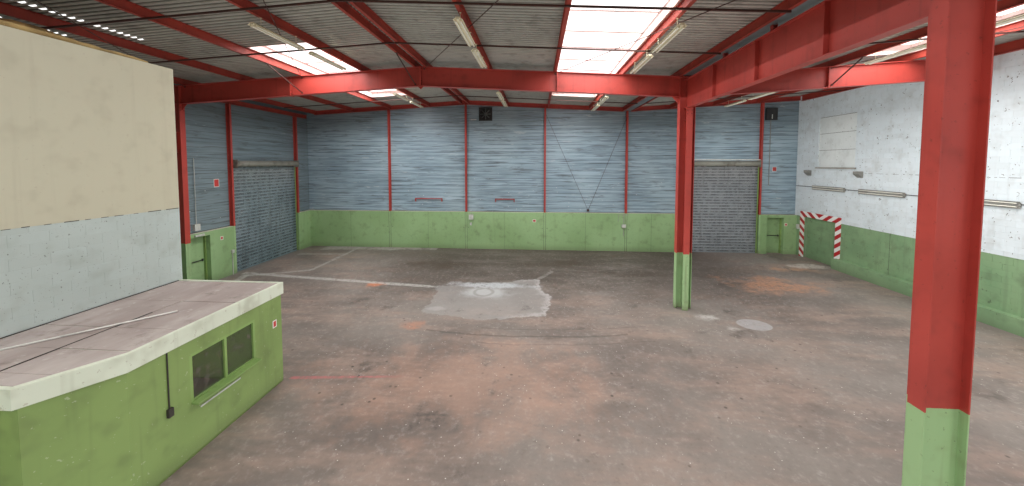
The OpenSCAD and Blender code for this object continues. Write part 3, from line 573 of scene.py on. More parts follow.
    def stains(self, g: Graph, wobble: Val, wear: Val) -> list[tuple[Val, Color]]:
        """Round lid, dust, orange stains and tyre arcs, taken and returned as in patches."""
        orange, tyre, dust = (186, 118, 84), (66, 61, 58), (184, 181, 175)
        worn = wear * 0.35 + 0.2
        arc = (self.reach(g, -1.2, 24.0, 1.0, 1.0) + wobble * 0.3).away(self.tyre_radius)
        near = g.y < 9.0
        return self.spots(g, wobble, [
            (6.5, 6.75, 0.52, 0.42, 0.25, 0.08, 0.6 + 0.2 * wear, (156, 154, 153)),
            (5.3, 7.2, 0.5, 0.35, 2.0, 0.9, worn * 1.3, dust),
            (5.7, 6.4, 0.4, 0.25, 2.0, 0.9, worn, dust),
            (-7.35, 9.56, 0.5, 0.42, 2.4, 0.6, worn * 1.5, orange),
            (-4.4, 5.9, 0.5, 0.4, 2.4, 0.8, worn * 0.8, orange),
            (9.4, 10.7, 2.6, 1.3, 3.0, 0.9, worn, (186, 130, 94)),
            (12.0, 13.0, 1.6, 0.6, 3.0, 0.9, worn, (186, 140, 106)),
            (13.2, 13.6, 1.1, 0.5, 2.4, 0.6, worn * 1.4, (190, 182, 172)),
            (-2.0, 3.2, 4.6, 2.4, 2.4, 0.9, 0.3, (184, 138, 114)),
        ]) + [
            ((1.0 - arc.step(0.02, 0.07)) * (g.x.away(-0.8) < 3.1) * near * 0.45, tyre),
            ((1.0 - arc.away(self.tyre_track).step(0.015, 0.05)) * (g.x.away(0.4) < 2.6) * near * 0.25, tyre),
        ]

    def lines(self, g: Graph, wobble: Val, wear: Val) -> list[tuple[Val, Color]]:
        """Dust tracks and painted lines, taken and returned as in patches."""
        dust, pale, red = (168, 166, 160), (222, 220, 214), (172, 96, 98)
        worn = wear * 0.35 + 0.2
        fade = 1.0 - g.x.step(-4.8, -3.4)
        found = []
        for (ax, ay), (bx, by), width, uneven, strength, tone in (
                ((-14.3, 10.6), (-4.6, 9.4), 0.26, 1.0, worn * 1.3, dust),
                ((-13.9, 10.2), (-11.4, 11.25), 0.2, 1.0, worn, dust),
                ((-11.4, 11.2), (-11.35, 15.9), 0.2, 1.0, worn, dust),
                ((-14.1, 14.1), (-11.2, 14.3), 0.22, 1.0, worn, dust),
                ((-13.95, 10.4), (-13.2, 8.0), 0.3, 1.0, worn * 1.2, dust),
                ((-13.5, 15.7), (-6.5, 16.0), 0.9, 5.0, worn, dust),
                ((-0.5, 10.5), (0.3, 11.9), 0.2, 1.0, worn * 0.5, dust),
                ((12.5, 1.6), (4.6, -1.3), 0.13, 0.4, 0.5 + 0.5 * wear, pale),
                ((-6.4, 3.03), (-3.4, 3.3), 0.09, 0.4, worn * fade * 1.3, red)):
            run = math.hypot(bx - ax, by - ay)
            ux, uy = (bx - ax) / run, (by - ay) / run
            along = g.along(ux, uy, ax, ay)
            across = g.along(-uy, ux, ax, ay).away(0.0) + wobble * (0.25 * uneven)
            mask = (1.0 - across.step(width * 0.35, width * 0.65)) * ((along > 0.0) * (along < run))
            found.append((mask * strength, tone))
        return found


@dataclass(frozen=True)
class Stripes:
    """Slanting red and white bands."""

    name: str = "slant_bands"
    pitch: float = 0.42

    def material(self) -> Material:
        """Builds the material of the bands."""
        g = Graph(self.name)
        middle = g.blend(g.y > 7.0, sum(PLAN.gate) / 2, sum(PLAN.porch) / 2)
        slant = (g.z - (g.y - middle).away(0.0) * 0.72).repeat(self.pitch)
        wear = g.noise(12.0, 5.0, 0.7).step(0.62, 0.7) * 0.5
        color = g.mix(slant < 0.5, (232, 232, 228), (178, 38, 44))
        color = g.mix(wear, color, (150, 140, 130))
        return g.surface(color, 0.5 + 0.2 * wear, g.noise(25.0), 0.0008)


@dataclass(frozen=True)
class Laths:
    """Curtain of a roller shutter: worn laths with dark broken lines between them."""

    name: str = "curtain_lath"
    pitch: float = 0.163
    start: float = 0.23

    def material(self) -> Material:
        """Builds the material of the curtain."""
        g = Graph(self.name)
        tone = g.noise(0.6, 3.0, 0.6).step(0.35, 0.7)
        color = g.mix(tone, (136, 154, 160), (112, 132, 138))
        dust = g.z.step(3.8, 5.2) * 0.35
        color = g.mix(dust, color, (156, 152, 142))
        color = g.mix((g.y > 16.0) * 0.4, color, (170, 162, 164))
        row = (g.z - self.start).repeat(self.pitch)
        east, north = g.facing()[:2]
        broken = g.noise(1.0, 2.0, 0.6, (5.0, 5.0, 3.0)).step(0.4, 0.55) * (east - north > 0.0) * 0.6 + 0.22
        color = g.mix((1.0 - row.away(0.5).step(0.12, 0.26)) * broken, color, (36, 42, 46))
        runs = g.noise(1.0, 2.0, 0.6, (6.0, 6.0, 0.35)).step(0.5, 0.75) * 0.3
        color = g.mix(runs, color, (74, 74, 70))
        return g.surface(color, 0.42 + 0.2 * runs, None, Metallic=0.35)


@dataclass(frozen=True)
class Boards:
    """Weathered boards, each of its own tone, laid along X or Y."""

    name: str = "roof_boards"
    width: float = 0.6

    def material(self) -> Material:
        """Builds the material of the boards."""
        g = Graph(self.name)
        tone = g.noise(0.9, 5.0, 0.6, (1.0, 0.4, 1.0)).step(0.3, 0.7)
        color = g.mix(tone, (178, 169, 164), (144, 132, 127))
        stain = g.noise(2.2, 6.0, 0.7).step(0.55, 0.75) * 0.6
        color = g.mix(stain, color, (96, 84, 76))
        dust = g.noise(5.0, 5.0, 0.7).step(0.58, 0.72) * 0.4
        color = g.mix(dust, color, (205, 200, 192))
        fibre = g.noise(8.0, 4.0, 0.7, (1.0, 12.0, 1.0))
        return g.surface(color, 0.75 + 0.1 * stain, fibre, 0.001)


@dataclass(frozen=True)
class Glow:
    """Cloudy rooflight sheet seen against the sky, glowing as painted daylight."""

    name: str = "rooflight_inside"
    strength: float = 1.3

    def material(self) -> Material:
        """Builds the material of the inside of the rooflights."""
        g = Graph(self.name)
        dirt = g.noise(0.8, 4.0, 0.6, (1.0, 0.4, 1.0)).step(0.45, 0.8) * 0.12
        color = g.mix(dirt, (255, 255, 255), (214, 224, 226))
        # Painted light: the sheet glows with its own emission
        return g.surface(color, 0.4, None, Emission_Color=color, Emission_Strength=self.strength)


@dataclass(frozen=True)
class Pane:
    """Clear glass with a little dust."""

    name: str = "window_pane"

    def material(self) -> Material:
        """Builds the glass."""
        g = Graph(self.name)
        dust = g.noise(6.0, 3.0, 0.7)
        color = g.mix(dust.step(0.5, 0.8) * 0.4, (52, 50, 48), (150, 140, 132))
        return g.surface(color, 0.04 + 0.1 * dust, None, Alpha=0.4 + 0.3 * dust.step(0.5, 0.8))


# The first colour is painted shade for the hollows of the roof sheets' ribs; the second is dust on ledges
RIB_SHADE, LEDGE_DUST = (52, 50, 48), (214, 208, 192)
STEEL_RED, STEEL_DARK, STEEL_GRIME = (175, 66, 57), (150, 53, 46), (84, 34, 30)
PEELED = (92, 84, 74)
LEAF_GREEN, MOSS_GREEN = (145, 177, 127), (129, 160, 110)

FINISHES = {
    "red_steel": Paint("red_oxide_steel", STEEL_RED, STEEL_DARK, dirt=0.28, runs=0.3, chips=0.25,
        rough=0.42, grime=STEEL_GRIME, chip=(60, 32, 26), foot=0.0),
    "column_red": Paint("column_steel", STEEL_RED, STEEL_DARK, dirt=0.28, runs=0.3, chips=0.35, rough=0.42,
        grime=STEEL_GRIME, chip=(70, 40, 34), chip_size=16.0, low_color=LEAF_GREEN, low_top=2.2),
    "post_red": Paint("post_steel", STEEL_RED, STEEL_DARK, dirt=0.3, runs=0.3, chips=0.4, rough=0.45,
        grime=STEEL_GRIME, chip=(190, 180, 170), low_color=LEAF_GREEN, low_top=2.45),
    "red_purlin": Paint("red_oxide_purlin", (160, 58, 44), (126, 44, 36), dirt=0.4, runs=0.2, chips=0.3,
        rough=0.6, grime=(70, 34, 30), foot=0.0),
    # Roof sheets: crest paints shade into the hollows of the ribs
    "roof_metal": Paint("roof_sheet", (172, 170, 162), (146, 144, 136), dirt=0.4, runs=0.0, chips=0.3,
        chip=(196, 190, 176), rough=0.5, metal=0.2, blotch=0.35, foot=0.0, crest=0.75, top=(158, 162, 160)),
    "flashing": Paint("folded_flashing", (126, 130, 132), (104, 108, 110), rough=0.45, metal=0.3),
    "outer_trim": Paint("outer_trim", (96, 106, 116), (84, 94, 104), rough=0.45, metal=0.2, foot=0.2,
        dirt=0.25),
    "green_wall": Paint("painted_panel", LEAF_GREEN, MOSS_GREEN, grime=(88, 92, 66), dirt=0.35, runs=0.1,
        chips=0.6, chip=(60, 62, 48), chip_size=26.0, tinting=0.7, blotch=0.45, outer=(150, 148, 140),
        ledge=2.444),
    "block_white": Paint("white_block_paint", (216, 226, 230), (202, 213, 217), grime=(156, 156, 148),
        dirt=0.3, runs=0.1, chips=0.9, chip=PEELED, chip_size=10.0, blocks=0.14, blotch=0.4, rough=0.8,
        uneven=0.002),
    "green_block": Paint("green_block_paint", (132, 162, 122), (110, 144, 106), grime=(88, 98, 74),
        dirt=0.35, runs=0.2, chips=0.5, chip=(60, 60, 50), chip_size=7.0, rough=0.65, uneven=0.0015,
        blocks=0.12),
    "curtain": Laths(),
    "green_metal": Paint("green_trim", (134, 164, 94), (112, 140, 80), rough=0.45, chips=0.5,
        chip=(120, 84, 60)),
    "roll_metal": Paint("roll_sheet", (146, 146, 136), (120, 118, 108), dirt=0.6, runs=0.1, rough=0.55,
        metal=0.2),
    "cream_panel": Paint("cream_panel", (200, 197, 174), (193, 188, 164), grime=(158, 151, 130), dirt=0.25,
        runs=0.12, chips=0.12, rough=0.6, blotch=0.25),
    "base_panel": Paint("pale_block_paint", (190, 202, 198), (180, 192, 188), grime=(140, 142, 128),
        dirt=0.25, runs=0.05, chips=0.8, chip=(104, 106, 98), chip_size=26.0, rough=0.8, uneven=0.0015,
        blocks=0.1, low_color=(104, 128, 66), low_top=1.9),
    "booth_green": Paint("booth_paint", (128, 152, 88), (112, 136, 76), grime=(84, 92, 58), dirt=0.3,
        runs=0.2, chips=0.35, chip=(196, 198, 182), rough=0.5),
    "fascia": Paint("booth_fascia", (205, 212, 194), (190, 197, 179), grime=(130, 124, 100), dirt=0.35,
        runs=0.2, chips=0.3, rough=0.5),
    "white_fill": Paint("filled_window", (220, 226, 224), (208, 215, 214), grime=(170, 172, 166), runs=0.1,
        chips=0.6, chip=PEELED, chip_size=7.0, rough=0.8, uneven=0.002),
    "fan_dark": Paint("fan_plate", (44, 44, 46), (32, 32, 34), dirt=0.3, rough=0.5, foot=0.0,
        grime=(80, 76, 70), chips=0.1),
    "fan_blade": Paint("fan_blade", (98, 104, 102), (82, 88, 86), metal=0.5, rough=0.4, foot=0.0),
    "lamp_white": Paint("lamp_enamel", (226, 218, 190), (208, 198, 168), grime=(130, 116, 88), dirt=0.4,
        runs=0.0, chips=0.2, rough=0.35, foot=0.0),
    "tube": Paint("lamp_tube", (242, 240, 228), (230, 228, 214), dirt=0.1, runs=0.0, chips=0.0, rough=0.15,
        foot=0.0),
    # Rooflight kerbs and glazing bars: the pale pink is partly their own colour and partly painted sunlight
    # on them
    "kerb_pale": Paint("rooflight_kerb", (214, 190, 184), (196, 160, 156), dirt=0.3, runs=0.3, rough=0.5,
        foot=0.0, top=(170, 172, 168)),
    "light_outside": Paint("rooflight_outside", (196, 204, 202), (178, 188, 186), dirt=0.35, runs=0.0,
        chips=0.0, rough=0.3, foot=0.0, grime=(140, 146, 138)),
    "rod_dark": Paint("tie_rod", (76, 48, 42), (58, 36, 34), rough=0.55, foot=0.0),
    "bare_concrete": Paint("bare_concrete", (120, 118, 112), (96, 96, 90), grime=(66, 66, 56), dirt=0.5,
        runs=0.6, chips=0.3, rough=0.85, uneven=0.003),
    "outer_block": Paint("bare_block", (172, 169, 160), (156, 153, 145), grime=(104, 102, 94), dirt=0.22,
        runs=0.3, chips=0.0, rough=0.9, uneven=0.003, blocks=0.24, blotch=0.3),
    "box_grey": Paint("grey_box", (196, 198, 192), (176, 178, 172), dirt=0.4, rough=0.45, foot=0.0),
    "bolt": Paint("bolt_steel", (112, 44, 38), (86, 40, 34), rough=0.5, metal=0.2, foot=0.0),
    "conduit": Paint("conduit_grey", (150, 150, 144), (120, 120, 114), dirt=0.5, rough=0.5, foot=0.0),
    "dark_cable": Paint("dark_conduit", (62, 58, 54), (44, 42, 40), rough=0.6, foot=0.0),
    "notice_red": Paint("notice_red", (198, 60, 56), (182, 54, 50), rough=0.4, foot=0.0, chips=0.1),
    "notice_white": Paint("notice_white", (232, 232, 226), (214, 214, 208), rough=0.4, foot=0.0, chips=0.1),
    "wool": Paint("mineral_wool", (184, 158, 104), (118, 96, 62), grime=(84, 72, 54), dirt=0.5, runs=0.0,
        chips=0.4, chip=(196, 176, 130), chip_size=20.0, rough=0.95, blotch=3.0, uneven=0.012, grain=30.0,
        foot=0.0),
    # Liner: its laps also carry painted shade on the left wall and a painted shadow along its foot
    "liner": Sheet("liner_sheet", (158, 180, 193), (124, 145, 157)),
    # Outer sheet: ribs paints shade beside each rib
    "outer_sheet": Sheet("outer_sheet", (136, 156, 168), (126, 146, 158), marks=0.0, laps=0.0, ribs=0.75,
        along=(3.0, 3.0, 0.3), mark=(160, 172, 178), pale=(146, 162, 172)),
    "floor": Concrete(),
    "stripes": Stripes(),
    "boards": Boards(),
    "glow": Glow(),
    "pane": Pane(),
}
MADE: dict[str, Material] = {}


def finish(name: str) -> Material:
    """Returns the material of a finish, made on its first use."""
    if name not in MADE:
        MADE[name] = FINISHES[name].material()
    return MADE[name]


# Shapes


class Shape:
    """Collects the closed forms of one piece, in place."""

    def __init__(self) -> None:
        """Starts with nothing."""
        self.points: list[Point] = []
        self.faces: list[Face] = []

    def add(self, points: list[Point], faces: list[Face]) -> "Shape":
        """Adds points, and faces that number them from 0."""
        first = len(self.points)
        self.points += [tuple(p) for p in points]
        self.faces += [tuple(first + i for i in f) for f in faces]
        return self

    def loft(self, rings: list[list[Point]]) -> "Shape":
        """Joins closed rings of the same length, with ends filled.

        Args:
            rings: the rings in order.

        Returns:
            This shape.
        """
        n, last = len(rings[0]), len(rings) - 1
        faces = [(r * n + i, r * n + (i + 1) % n, (r + 1) * n + (i + 1) % n, (r + 1) * n + i)
                 for r in range(last) for i in range(n)]
        faces += [tuple(range(n - 1, -1, -1)), tuple(last * n + i for i in range(n))]
        return self.add([p for ring in rings for p in ring], faces)

    def box(self, a: Point, b: Point) -> "Shape":
        """Adds a box between two corners."""
        return self.prism([(a[0], a[1]), (b[0], a[1]), (b[0], b[1]), (a[0], b[1])], Axis.Z, a[2], b[2])

    def prism(self, outline: list[Flat], axis: Axis, low: float, high: float) -> "Shape":
        """Draws an outline out along an axis.

        Args:
            outline: points as (x, y) for Z, (x, z) for Y and (y, z) for X.
            axis: the axis.
            low: start along it.
            high: end along it.

        Returns:
            This shape.
        """
        place = {Axis.X: lambda p, t: (t, p[0], p[1]), Axis.Y: lambda p, t: (p[0], t, p[1]),
                 Axis.Z: lambda p, t: (p[0], p[1], t)}[axis]
        return self.loft([[place(p, t) for p in outline] for t in (low, high)])

    def slope(self, x0: float, x1: float, y0: float, y1: float, low: float, high: float) -> "Shape":
        """Adds a slab that follows the roof, from low to high above the sheets' underside."""
        z0, z1 = PLAN.roof(x0 + TINY), PLAN.roof(x1 - TINY)
        return self.prism([(x0, z0 + low), (x1, z1 + low), (x1, z1 + high), (x0, z0 + high)], Axis.Y, y0, y1)

    def strip(self, front: list[Point], back: list[Point]) -> "Shape":
        """Adds a strip of sheet that is open along the two edges where its neighbours are welded on.

        Args:
            front: outline of its first end, with the two corners of its back last.
            back: outline of its other end, point for point.

        Returns:
            This shape.
        """
        n = len(front)
        faces = [(i, i + 1, n + i + 1, n + i) for i in range(n - 1) if i != n - 3]
        return self.add(front + back, faces + [tuple(range(n)), tuple(range(2 * n - 1, n - 1, -1))])

    def tube(self, path: list[Point], radius: float, sides: int = 8) -> "Shape":
        """Adds a round bar along a path.

        Args:
            path: the points of its middle line.
            radius: its radius.
            sides: how many flat sides it has.

        Returns:
            This shape.
        """
        rings = []
        for i, p in enumerate(path):
            a, b = Vector(path[max(i - 1, 0)]), Vector(path[min(i + 1, len(path) - 1)])
            turn = (b - a).to_track_quat("Z", "Y")
            rings.append([tuple(Vector(p) + turn @ Vector((radius * math.cos(t), radius * math.sin(t), 0)))
                          for t in (2 * math.pi * k / sides for k in range(sides))])
        return self.loft(rings)

    def bent(self, path: list[Point], radius: float, bend: float = 0.05) -> "Shape":
        """Adds a round bar whose corners are rounded.

        Args:
            path: its ends and its corners.
            radius: its radius.
            bend: from a corner to where the bend starts.

        Returns:
            This shape.
        """
        soft = [path[0]]
        for before, here, after in zip(path, path[1:], path[2:]):
            h = Vector(here)
            a, b = h + (Vector(before) - h).normalized() * bend, h + (Vector(after) - h).normalized() * bend
            soft += [tuple(a.lerp(h, t).lerp(h.lerp(b, t), t)) for t in (0.0, 0.33, 0.67, 1.0)]
        return self.tube(soft + [path[-1]], radius)

    def mesh(self, name: str) -> Mesh:
        """Makes the mesh, with its faces pointing outwards."""
        made = bpy.data.meshes.new(name)
        made.from_pydata(self.points, [], self.faces)
        return worked(made, lambda work: None)


def worked(mesh: Mesh, change: Callable[[bmesh.types.BMesh], None]) -> Mesh:
    """Changes a mesh and turns its faces outwards.

    Args:
        mesh: the mesh.
        change: what is done to it.

    Returns:
        The same mesh.
    """
    work = bmesh.new()
    work.from_mesh(mesh)
    change(work)
    bmesh.ops.recalc_face_normals(work, faces=work.faces)
    work.to_mesh(mesh)
    work.free()
    return mesh


def shown(name: str, data: ID) -> Object:
    """Makes an object of a mesh, lamp or camera and puts it into the scene."""
    made = bpy.data.objects.new(name, data)
    bpy.context.scene.collection.objects.link(made)
    return made


def place(made: Object, dressed: str, slot: str, body: str = "hall",
          stands_for: tuple[str, ...] = ()) -> Object:
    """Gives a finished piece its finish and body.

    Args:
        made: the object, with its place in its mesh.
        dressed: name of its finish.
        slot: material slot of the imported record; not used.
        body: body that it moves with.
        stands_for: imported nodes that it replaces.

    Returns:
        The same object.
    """
    if not made.data.materials:
        made.data.materials.append(finish(dressed))
    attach(made, body)
    if stands_for:
        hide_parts(*stands_for)
    LOG.info("%s: %d faces", made.name, len(made.data.polygons))
    return made


def piece(name: str, shape: Shape, dressed: str, slot: str, body: str = "hall",
          stands_for: tuple[str, ...] = (), bevel: float = 0.0, smooth: bool = False) -> Object:
    """Makes a piece from a shape.

    Args:
        name: the piece's name.
        shape: its form.
        dressed: name of its finish.
        slot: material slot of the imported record.
        body: body that it moves with.
        stands_for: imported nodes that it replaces.
        bevel: width of its broken edges.
        smooth: whether its faces are shaded as one round surface.

    Returns:
        The new object.
    """
    made = shown(name, shape.mesh(name))
    if smooth:
        made.data.shade_smooth()
    if bevel:
        edge = made.modifiers.new("edges", "BEVEL")
        edge.width, edge.segments, edge.limit_method = bevel, 2, "ANGLE"
    return place(made, dressed, slot, body, stands_for)


# Repeats by geometry nodes


class Tree:
    """Node tree whose named inputs a modifier fills."""

    def __init__(self, name: str, inputs: dict[str, str]) -> None:
        """Starts the tree with its inputs.

        Args:
            name: the tree's name.
            inputs: each input's name and kind of socket.
        """
        self.tree = bpy.data.node_groups.new(name, "GeometryNodeTree")
        face = self.tree.interface
        face.new_socket("Geometry", in_out="INPUT", socket_type="NodeSocketGeometry")
        self.inputs = {key: face.new_socket(key, in_out="INPUT", socket_type="NodeSocket" + kind).identifier
                       for key, kind in inputs.items()}
        face.new_socket("Geometry", in_out="OUTPUT", socket_type="NodeSocketGeometry")
        self.start, self.end = self.add("NodeGroupInput"), self.add("NodeGroupOutput")

    def add(self, kind: str) -> Node:
        """Adds a node to the tree."""
        return self.tree.nodes.new(kind)

    def link(self, *pairs: tuple[NodeSocket, NodeSocket]) -> None:
        """Links each first socket to its second."""
        for start, end in pairs:
            self.tree.links.new(start, end)

    def grow(self, made: Object, **values: object) -> Object:
        """Runs the tree on an object and keeps the result as its mesh.

        Args:
            made: the object.
            values: the tree's inputs.

        Returns:
            The same object.
        """
        growth = made.modifiers.new("growth", "NODES")
        growth.node_group = self.tree
        for key, value in values.items():
            growth[self.inputs[key]] = value
        plain = bpy.data.meshes.new_from_object(made.evaluated_get(bpy.context.evaluated_depsgraph_get()))
        made.modifiers.clear()
        made.data = plain
        return made


class Repeat(Tree):
    """Sets copies of a part on points, beside pieces made one by one."""

    def __init__(self) -> None:
        """Builds the tree with its inputs Part, Beside, Size and Finish."""
        super().__init__("set_on_points", {"Part": "Object", "Beside": "Object", "Size": "Float",
                                           "Finish": "Material"})
        part, beside = self.add("GeometryNodeObjectInfo"), self.add("GeometryNodeObjectInfo")
        onto, real = self.add("GeometryNodeInstanceOnPoints"), self.add("GeometryNodeRealizeInstances")
        join, coat = self.add("GeometryNodeJoinGeometry"), self.add("GeometryNodeSetMaterial")
        given = self.start.outputs
        self.link(
            (given["Geometry"], onto.inputs["Points"]), (given["Part"], part.inputs["Object"]),
            (part.outputs["Geometry"], onto.inputs["Instance"]), (given["Size"], onto.inputs["Scale"]),
            (onto.outputs[0], real.inputs[0]), (given["Beside"], beside.inputs["Object"]),
            (beside.outputs["Geometry"], join.inputs[0]), (real.outputs[0], join.inputs[0]),
            (join.outputs[0], coat.inputs["Geometry"]), (given["Finish"], coat.inputs["Material"]),
            (coat.outputs[0], self.end.inputs[0]))

    def run(self, name: str, points: list[Point], part: Shape, dressed: str, slot: str,
            stands_for: tuple[str, ...] = (), beside: Shape | None = None) -> Object:
        """Makes a piece of many equal parts.

        Args:
            name: the piece's name.
            points: where the part's origin goes.
            part: the part, round the origin.
            dressed: name of the finish.
            slot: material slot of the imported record.
            stands_for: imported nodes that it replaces.
            beside: other forms of the same piece, in place.

        Returns:
            The new object.
        """
        base = bpy.data.meshes.new(name + "_points")
        base.from_pydata(points, [], [])
        made = shown(name, base)
        helpers = {key: shown(name + key, shape.mesh(name + key))
                   for key, shape in (("Part", part), ("Beside", beside)) if shape}
        self.grow(made, **helpers, Size=1.0, Finish=finish(dressed))
        for each in helpers.values():
            bpy.data.objects.remove(each)
        return place(made, dressed, slot, stands_for=stands_for)


class Row(Tree):
    """Repeats a strip along a step and welds the strips into one sheet."""

    weld_gap = 0.0002

    def __init__(self) -> None:
        """Builds the tree with its inputs Count, Step and Finish."""
        super().__init__("row_of_strips", {"Count": "Int", "Step": "Vector", "Finish": "Material"})
        line, onto = self.add("GeometryNodeMeshLine"), self.add("GeometryNodeInstanceOnPoints")
        real, weld = self.add("GeometryNodeRealizeInstances"), self.add("GeometryNodeMergeByDistance")
        coat = self.add("GeometryNodeSetMaterial")
        weld.inputs["Distance"].default_value = self.weld_gap
        given = self.start.outputs
        self.link(
            (given["Count"], line.inputs["Count"]), (given["Step"], line.inputs["Offset"]),
            (line.outputs[0], onto.inputs["Points"]), (given["Geometry"], onto.inputs["Instance"]),
            (onto.outputs[0], real.inputs[0]), (real.outputs[0], weld.inputs["Geometry"]),
            (weld.outputs[0], coat.inputs["Geometry"]), (given["Finish"], coat.inputs["Material"]),
            (coat.outputs[0], self.end.inputs[0]))

    def run(self, name: str, strip: Shape, count: int, step: Point, dressed: str) -> Object:
        """Makes the welded sheet as a plain object, not yet placed.

        Args:
            name: the object's name.
            strip: the first strip, in place.
            count: how many strips.
            step: from one strip to the next.
            dressed: name of the finish.

        Returns:
            The new object.
        """
        made = self.grow(shown(name, strip.mesh(name)), Count=count, Step=step, Finish=finish(dressed))
        worked(made.data, close_ends)
        return made


def close_ends(work: bmesh.types.BMesh) -> None:
    """Fills the open ends of a sheet."""
    bmesh.ops.holes_fill(work, edges=[edge for edge in work.edges if edge.is_boundary])


def trim(made: Object, point: Point, away: Point) -> Object:
    """Cuts off what lies beyond a plane and fills the cut.

    Args:
        made: the object.
        point: a point of the plane.
        away: direction of the part that goes.

    Returns:
        The same object.
    """
    def cut(work: bmesh.types.BMesh) -> None:
        """Cuts the mesh at the plane."""
        parts = work.verts[:] + work.edges[:] + work.faces[:]
        found = bmesh.ops.bisect_plane(work, geom=parts, plane_co=point, plane_no=away, clear_outer=True)
        edges = [e for e in found["geom_cut"] if isinstance(e, bmesh.types.BMEdge) and e.is_valid]
        bmesh.ops.holes_fill(work, edges=edges)

    worked(made.data, cut)
    return made


def joined(name: str, objects: list[Object]) -> Object:
    """Joins objects of one finish into one.

    Args:
        name: name of the result.
        objects: the objects, which are used up.

    Returns:
        The new object.
    """
    work = bmesh.new()
    for each in objects:
        work.from_mesh(each.data)
    made = bpy.data.meshes.new(name)
    for material in objects[0].data.materials:
        made.materials.append(material)
    work.to_mesh(made)
    work.free()
    for each in objects:
        bpy.data.objects.remove(each)
    return shown(name, made)


REPEAT, ROW = Repeat(), Row()


# Roof


@dataclass
class Roof:
    """Ribbed sheets, rooflights, ridge and the fine steel of the roof."""

    rib: float = 0.16
    low: float = 0.002
    high: float = 0.034
    thick: float = 0.003
    flat: float = 0.085
    web: float = 0.02
    bars: float = 1.35

    def build(self) -> None:
        """Builds the roof's pieces."""
        self.sheets()
        self.rooflights()
        self.gleams()
        self.cleats()

    def strip(self, x0: float, x1: float, y: float, pitch: float) -> Shape:
        """One rib of sheet between x0 and x1, starting at y."""
        k = pitch / self.rib
        ys = [0.0, self.flat * k, (self.flat + self.web) * k, pitch - self.web * k, pitch]
        zs = [self.low, self.low, self.high, self.high, self.low]
        low = [(y + a, b) for a, b in zip(ys, zs)]
        ring = low + [(a, b + self.thick) for a, b in low[::-1]]
        ends = [[(x, a, PLAN.roof(x + s) + b) for a, b in ring] for x, s in ((x0, TINY), (x1, -TINY))]
        n = len(ys)
        faces = [(i, i + 1, 2 * n + i + 1, 2 * n + i) for i in range(2 * n - 1) if i != n - 1]
        faces += [(i, i + 1, 2 * n - 2 - i, 2 * n - 1 - i) for i in range(n - 1)]
        faces += [(2 * n + i, 2 * n + i + 1, 4 * n - 2 - i, 4 * n - 1 - i) for i in range(n - 1)]
        return Shape().add(ends[0] + ends[1], faces)

    def regions(self) -> list[Region]:
        """Stretches of sheet between the rooflights: x0, x1, y0, y1."""
        found = []
        for a, b in ((PLAN.clad_out, PLAN.ridge - 0.001), (PLAN.ridge + 0.001, PLAN.valley - PLAN.gutter),
                     (PLAN.valley + PLAN.gutter, PLAN.wall)):
            lights = [light for light in LIGHTS if a < light[0] < b]
            ends = sorted({-PLAN.out, PLAN.out, *(end for light in lights for end in light[2:])})
            for y0, y1 in zip(ends, ends[1:]):
                x = a
                for west, east, south, north in lights:
                    if south <= y0 and north >= y1:
                        found.append((x, west + LIGHT_EDGE, y0, y1))
                        x = east - LIGHT_EDGE
                found.append((x, b, y0, y1))
        return found

    def sheets(self) -> None:
        """The ribbed sheets."""
        made = []
        for i, (x0, x1, y0, y1) in enumerate(self.regions()):
            count = round((y1 - y0) / self.rib)
            pitch = (y1 - y0) / count
            strip = self.strip(x0, x1, y0, pitch)
            made.append(ROW.run(f"sheet_{i}", strip, count, (0.0, pitch, 0.0), "roof_metal"))
        place(joined("roof_sheets_ribbed", made), "roof_metal", "roof_metal", stands_for=("roof_sheets",))

    def rooflights(self) -> None:
        """Glowing lower sheet, outer corrugated sheet and glazing bars."""
        inside, bars = Shape(), Shape()
        lift = PLAN.sheet + PLAN.kerb
        made = []
        for i, (x0, x1, y0, y1) in enumerate(LIGHTS):
            a, b = x0 + LIGHT_EDGE - 0.04, x1 - LIGHT_EDGE + 0.04
            inside.slope(a, b, y0 - 0.04, y1 + 0.04, lift + 0.001, lift + 0.005)
            count = round((y1 - y0) / 0.076)
            pitch = (y1 - y0 + 0.08) / count
            wave = [(k / 6 * pitch, 0.008 + 0.006 * math.cos(math.pi * k / 3)) for k in range(7)]
            ring = [(y0 - 0.04 + p, lift + q) for p, q in wave]
            ring += [(p, q + 0.004) for p, q in ring[::-1]]
            shape = Shape().loft([[(x, p, PLAN.roof(x) + q) for p, q in ring] for x in (a, b)])
            made.append(ROW.run(f"light_{i}", shape, count, (0.0, pitch, 0.0), "light_outside"))
            for k in range(1, int((y1 - y0) / self.bars)):
                y = y0 + k * self.bars
                bars.slope(a + 0.081, b - 0.081, y - 0.012, y + 0.012, lift - 0.03, lift)
        piece("rooflight_glow", inside, "glow", "rooflight", stands_for=("rooflights",))
        # Glazing bars in the kerbs' pale pink, which holds painted sunlight
        piece("rooflight_bars", bars, "kerb_pale", "kerb_pale")
        place(joined("rooflight_outer_sheet", made), "light_outside", "rooflight", stands_for=("rooflights",))

    def gleams(self) -> None:
        """Daylight that shows through the ends of the ribs on the left slope."""
        shape, start = Shape(), LIGHTS[1][3]
        length = LIGHTS[0][2] - start
        pitch = length / round(length / self.rib)
        middle = (self.flat + self.rib) / 2 / self.rib
        profile = ((-0.035, 0.002), (0.035, 0.002), (0.018, 0.029), (-0.018, 0.029))
        for x, y0, y1 in ((-9.85, -0.2, 3.9), (-11.4, -0.3, 4.3), (-12.8, -0.1, 3.7)):
            for k in range(round((y0 - start) / pitch), round((y1 - start) / pitch)):
                y = start + (k + middle) * pitch
                shape.loft([[(u, y + w, PLAN.roof(u) + z) for w, z in profile] for u in (x, x + 0.11)])
        piece("roof_gleams", shape, "glow", "rooflight")

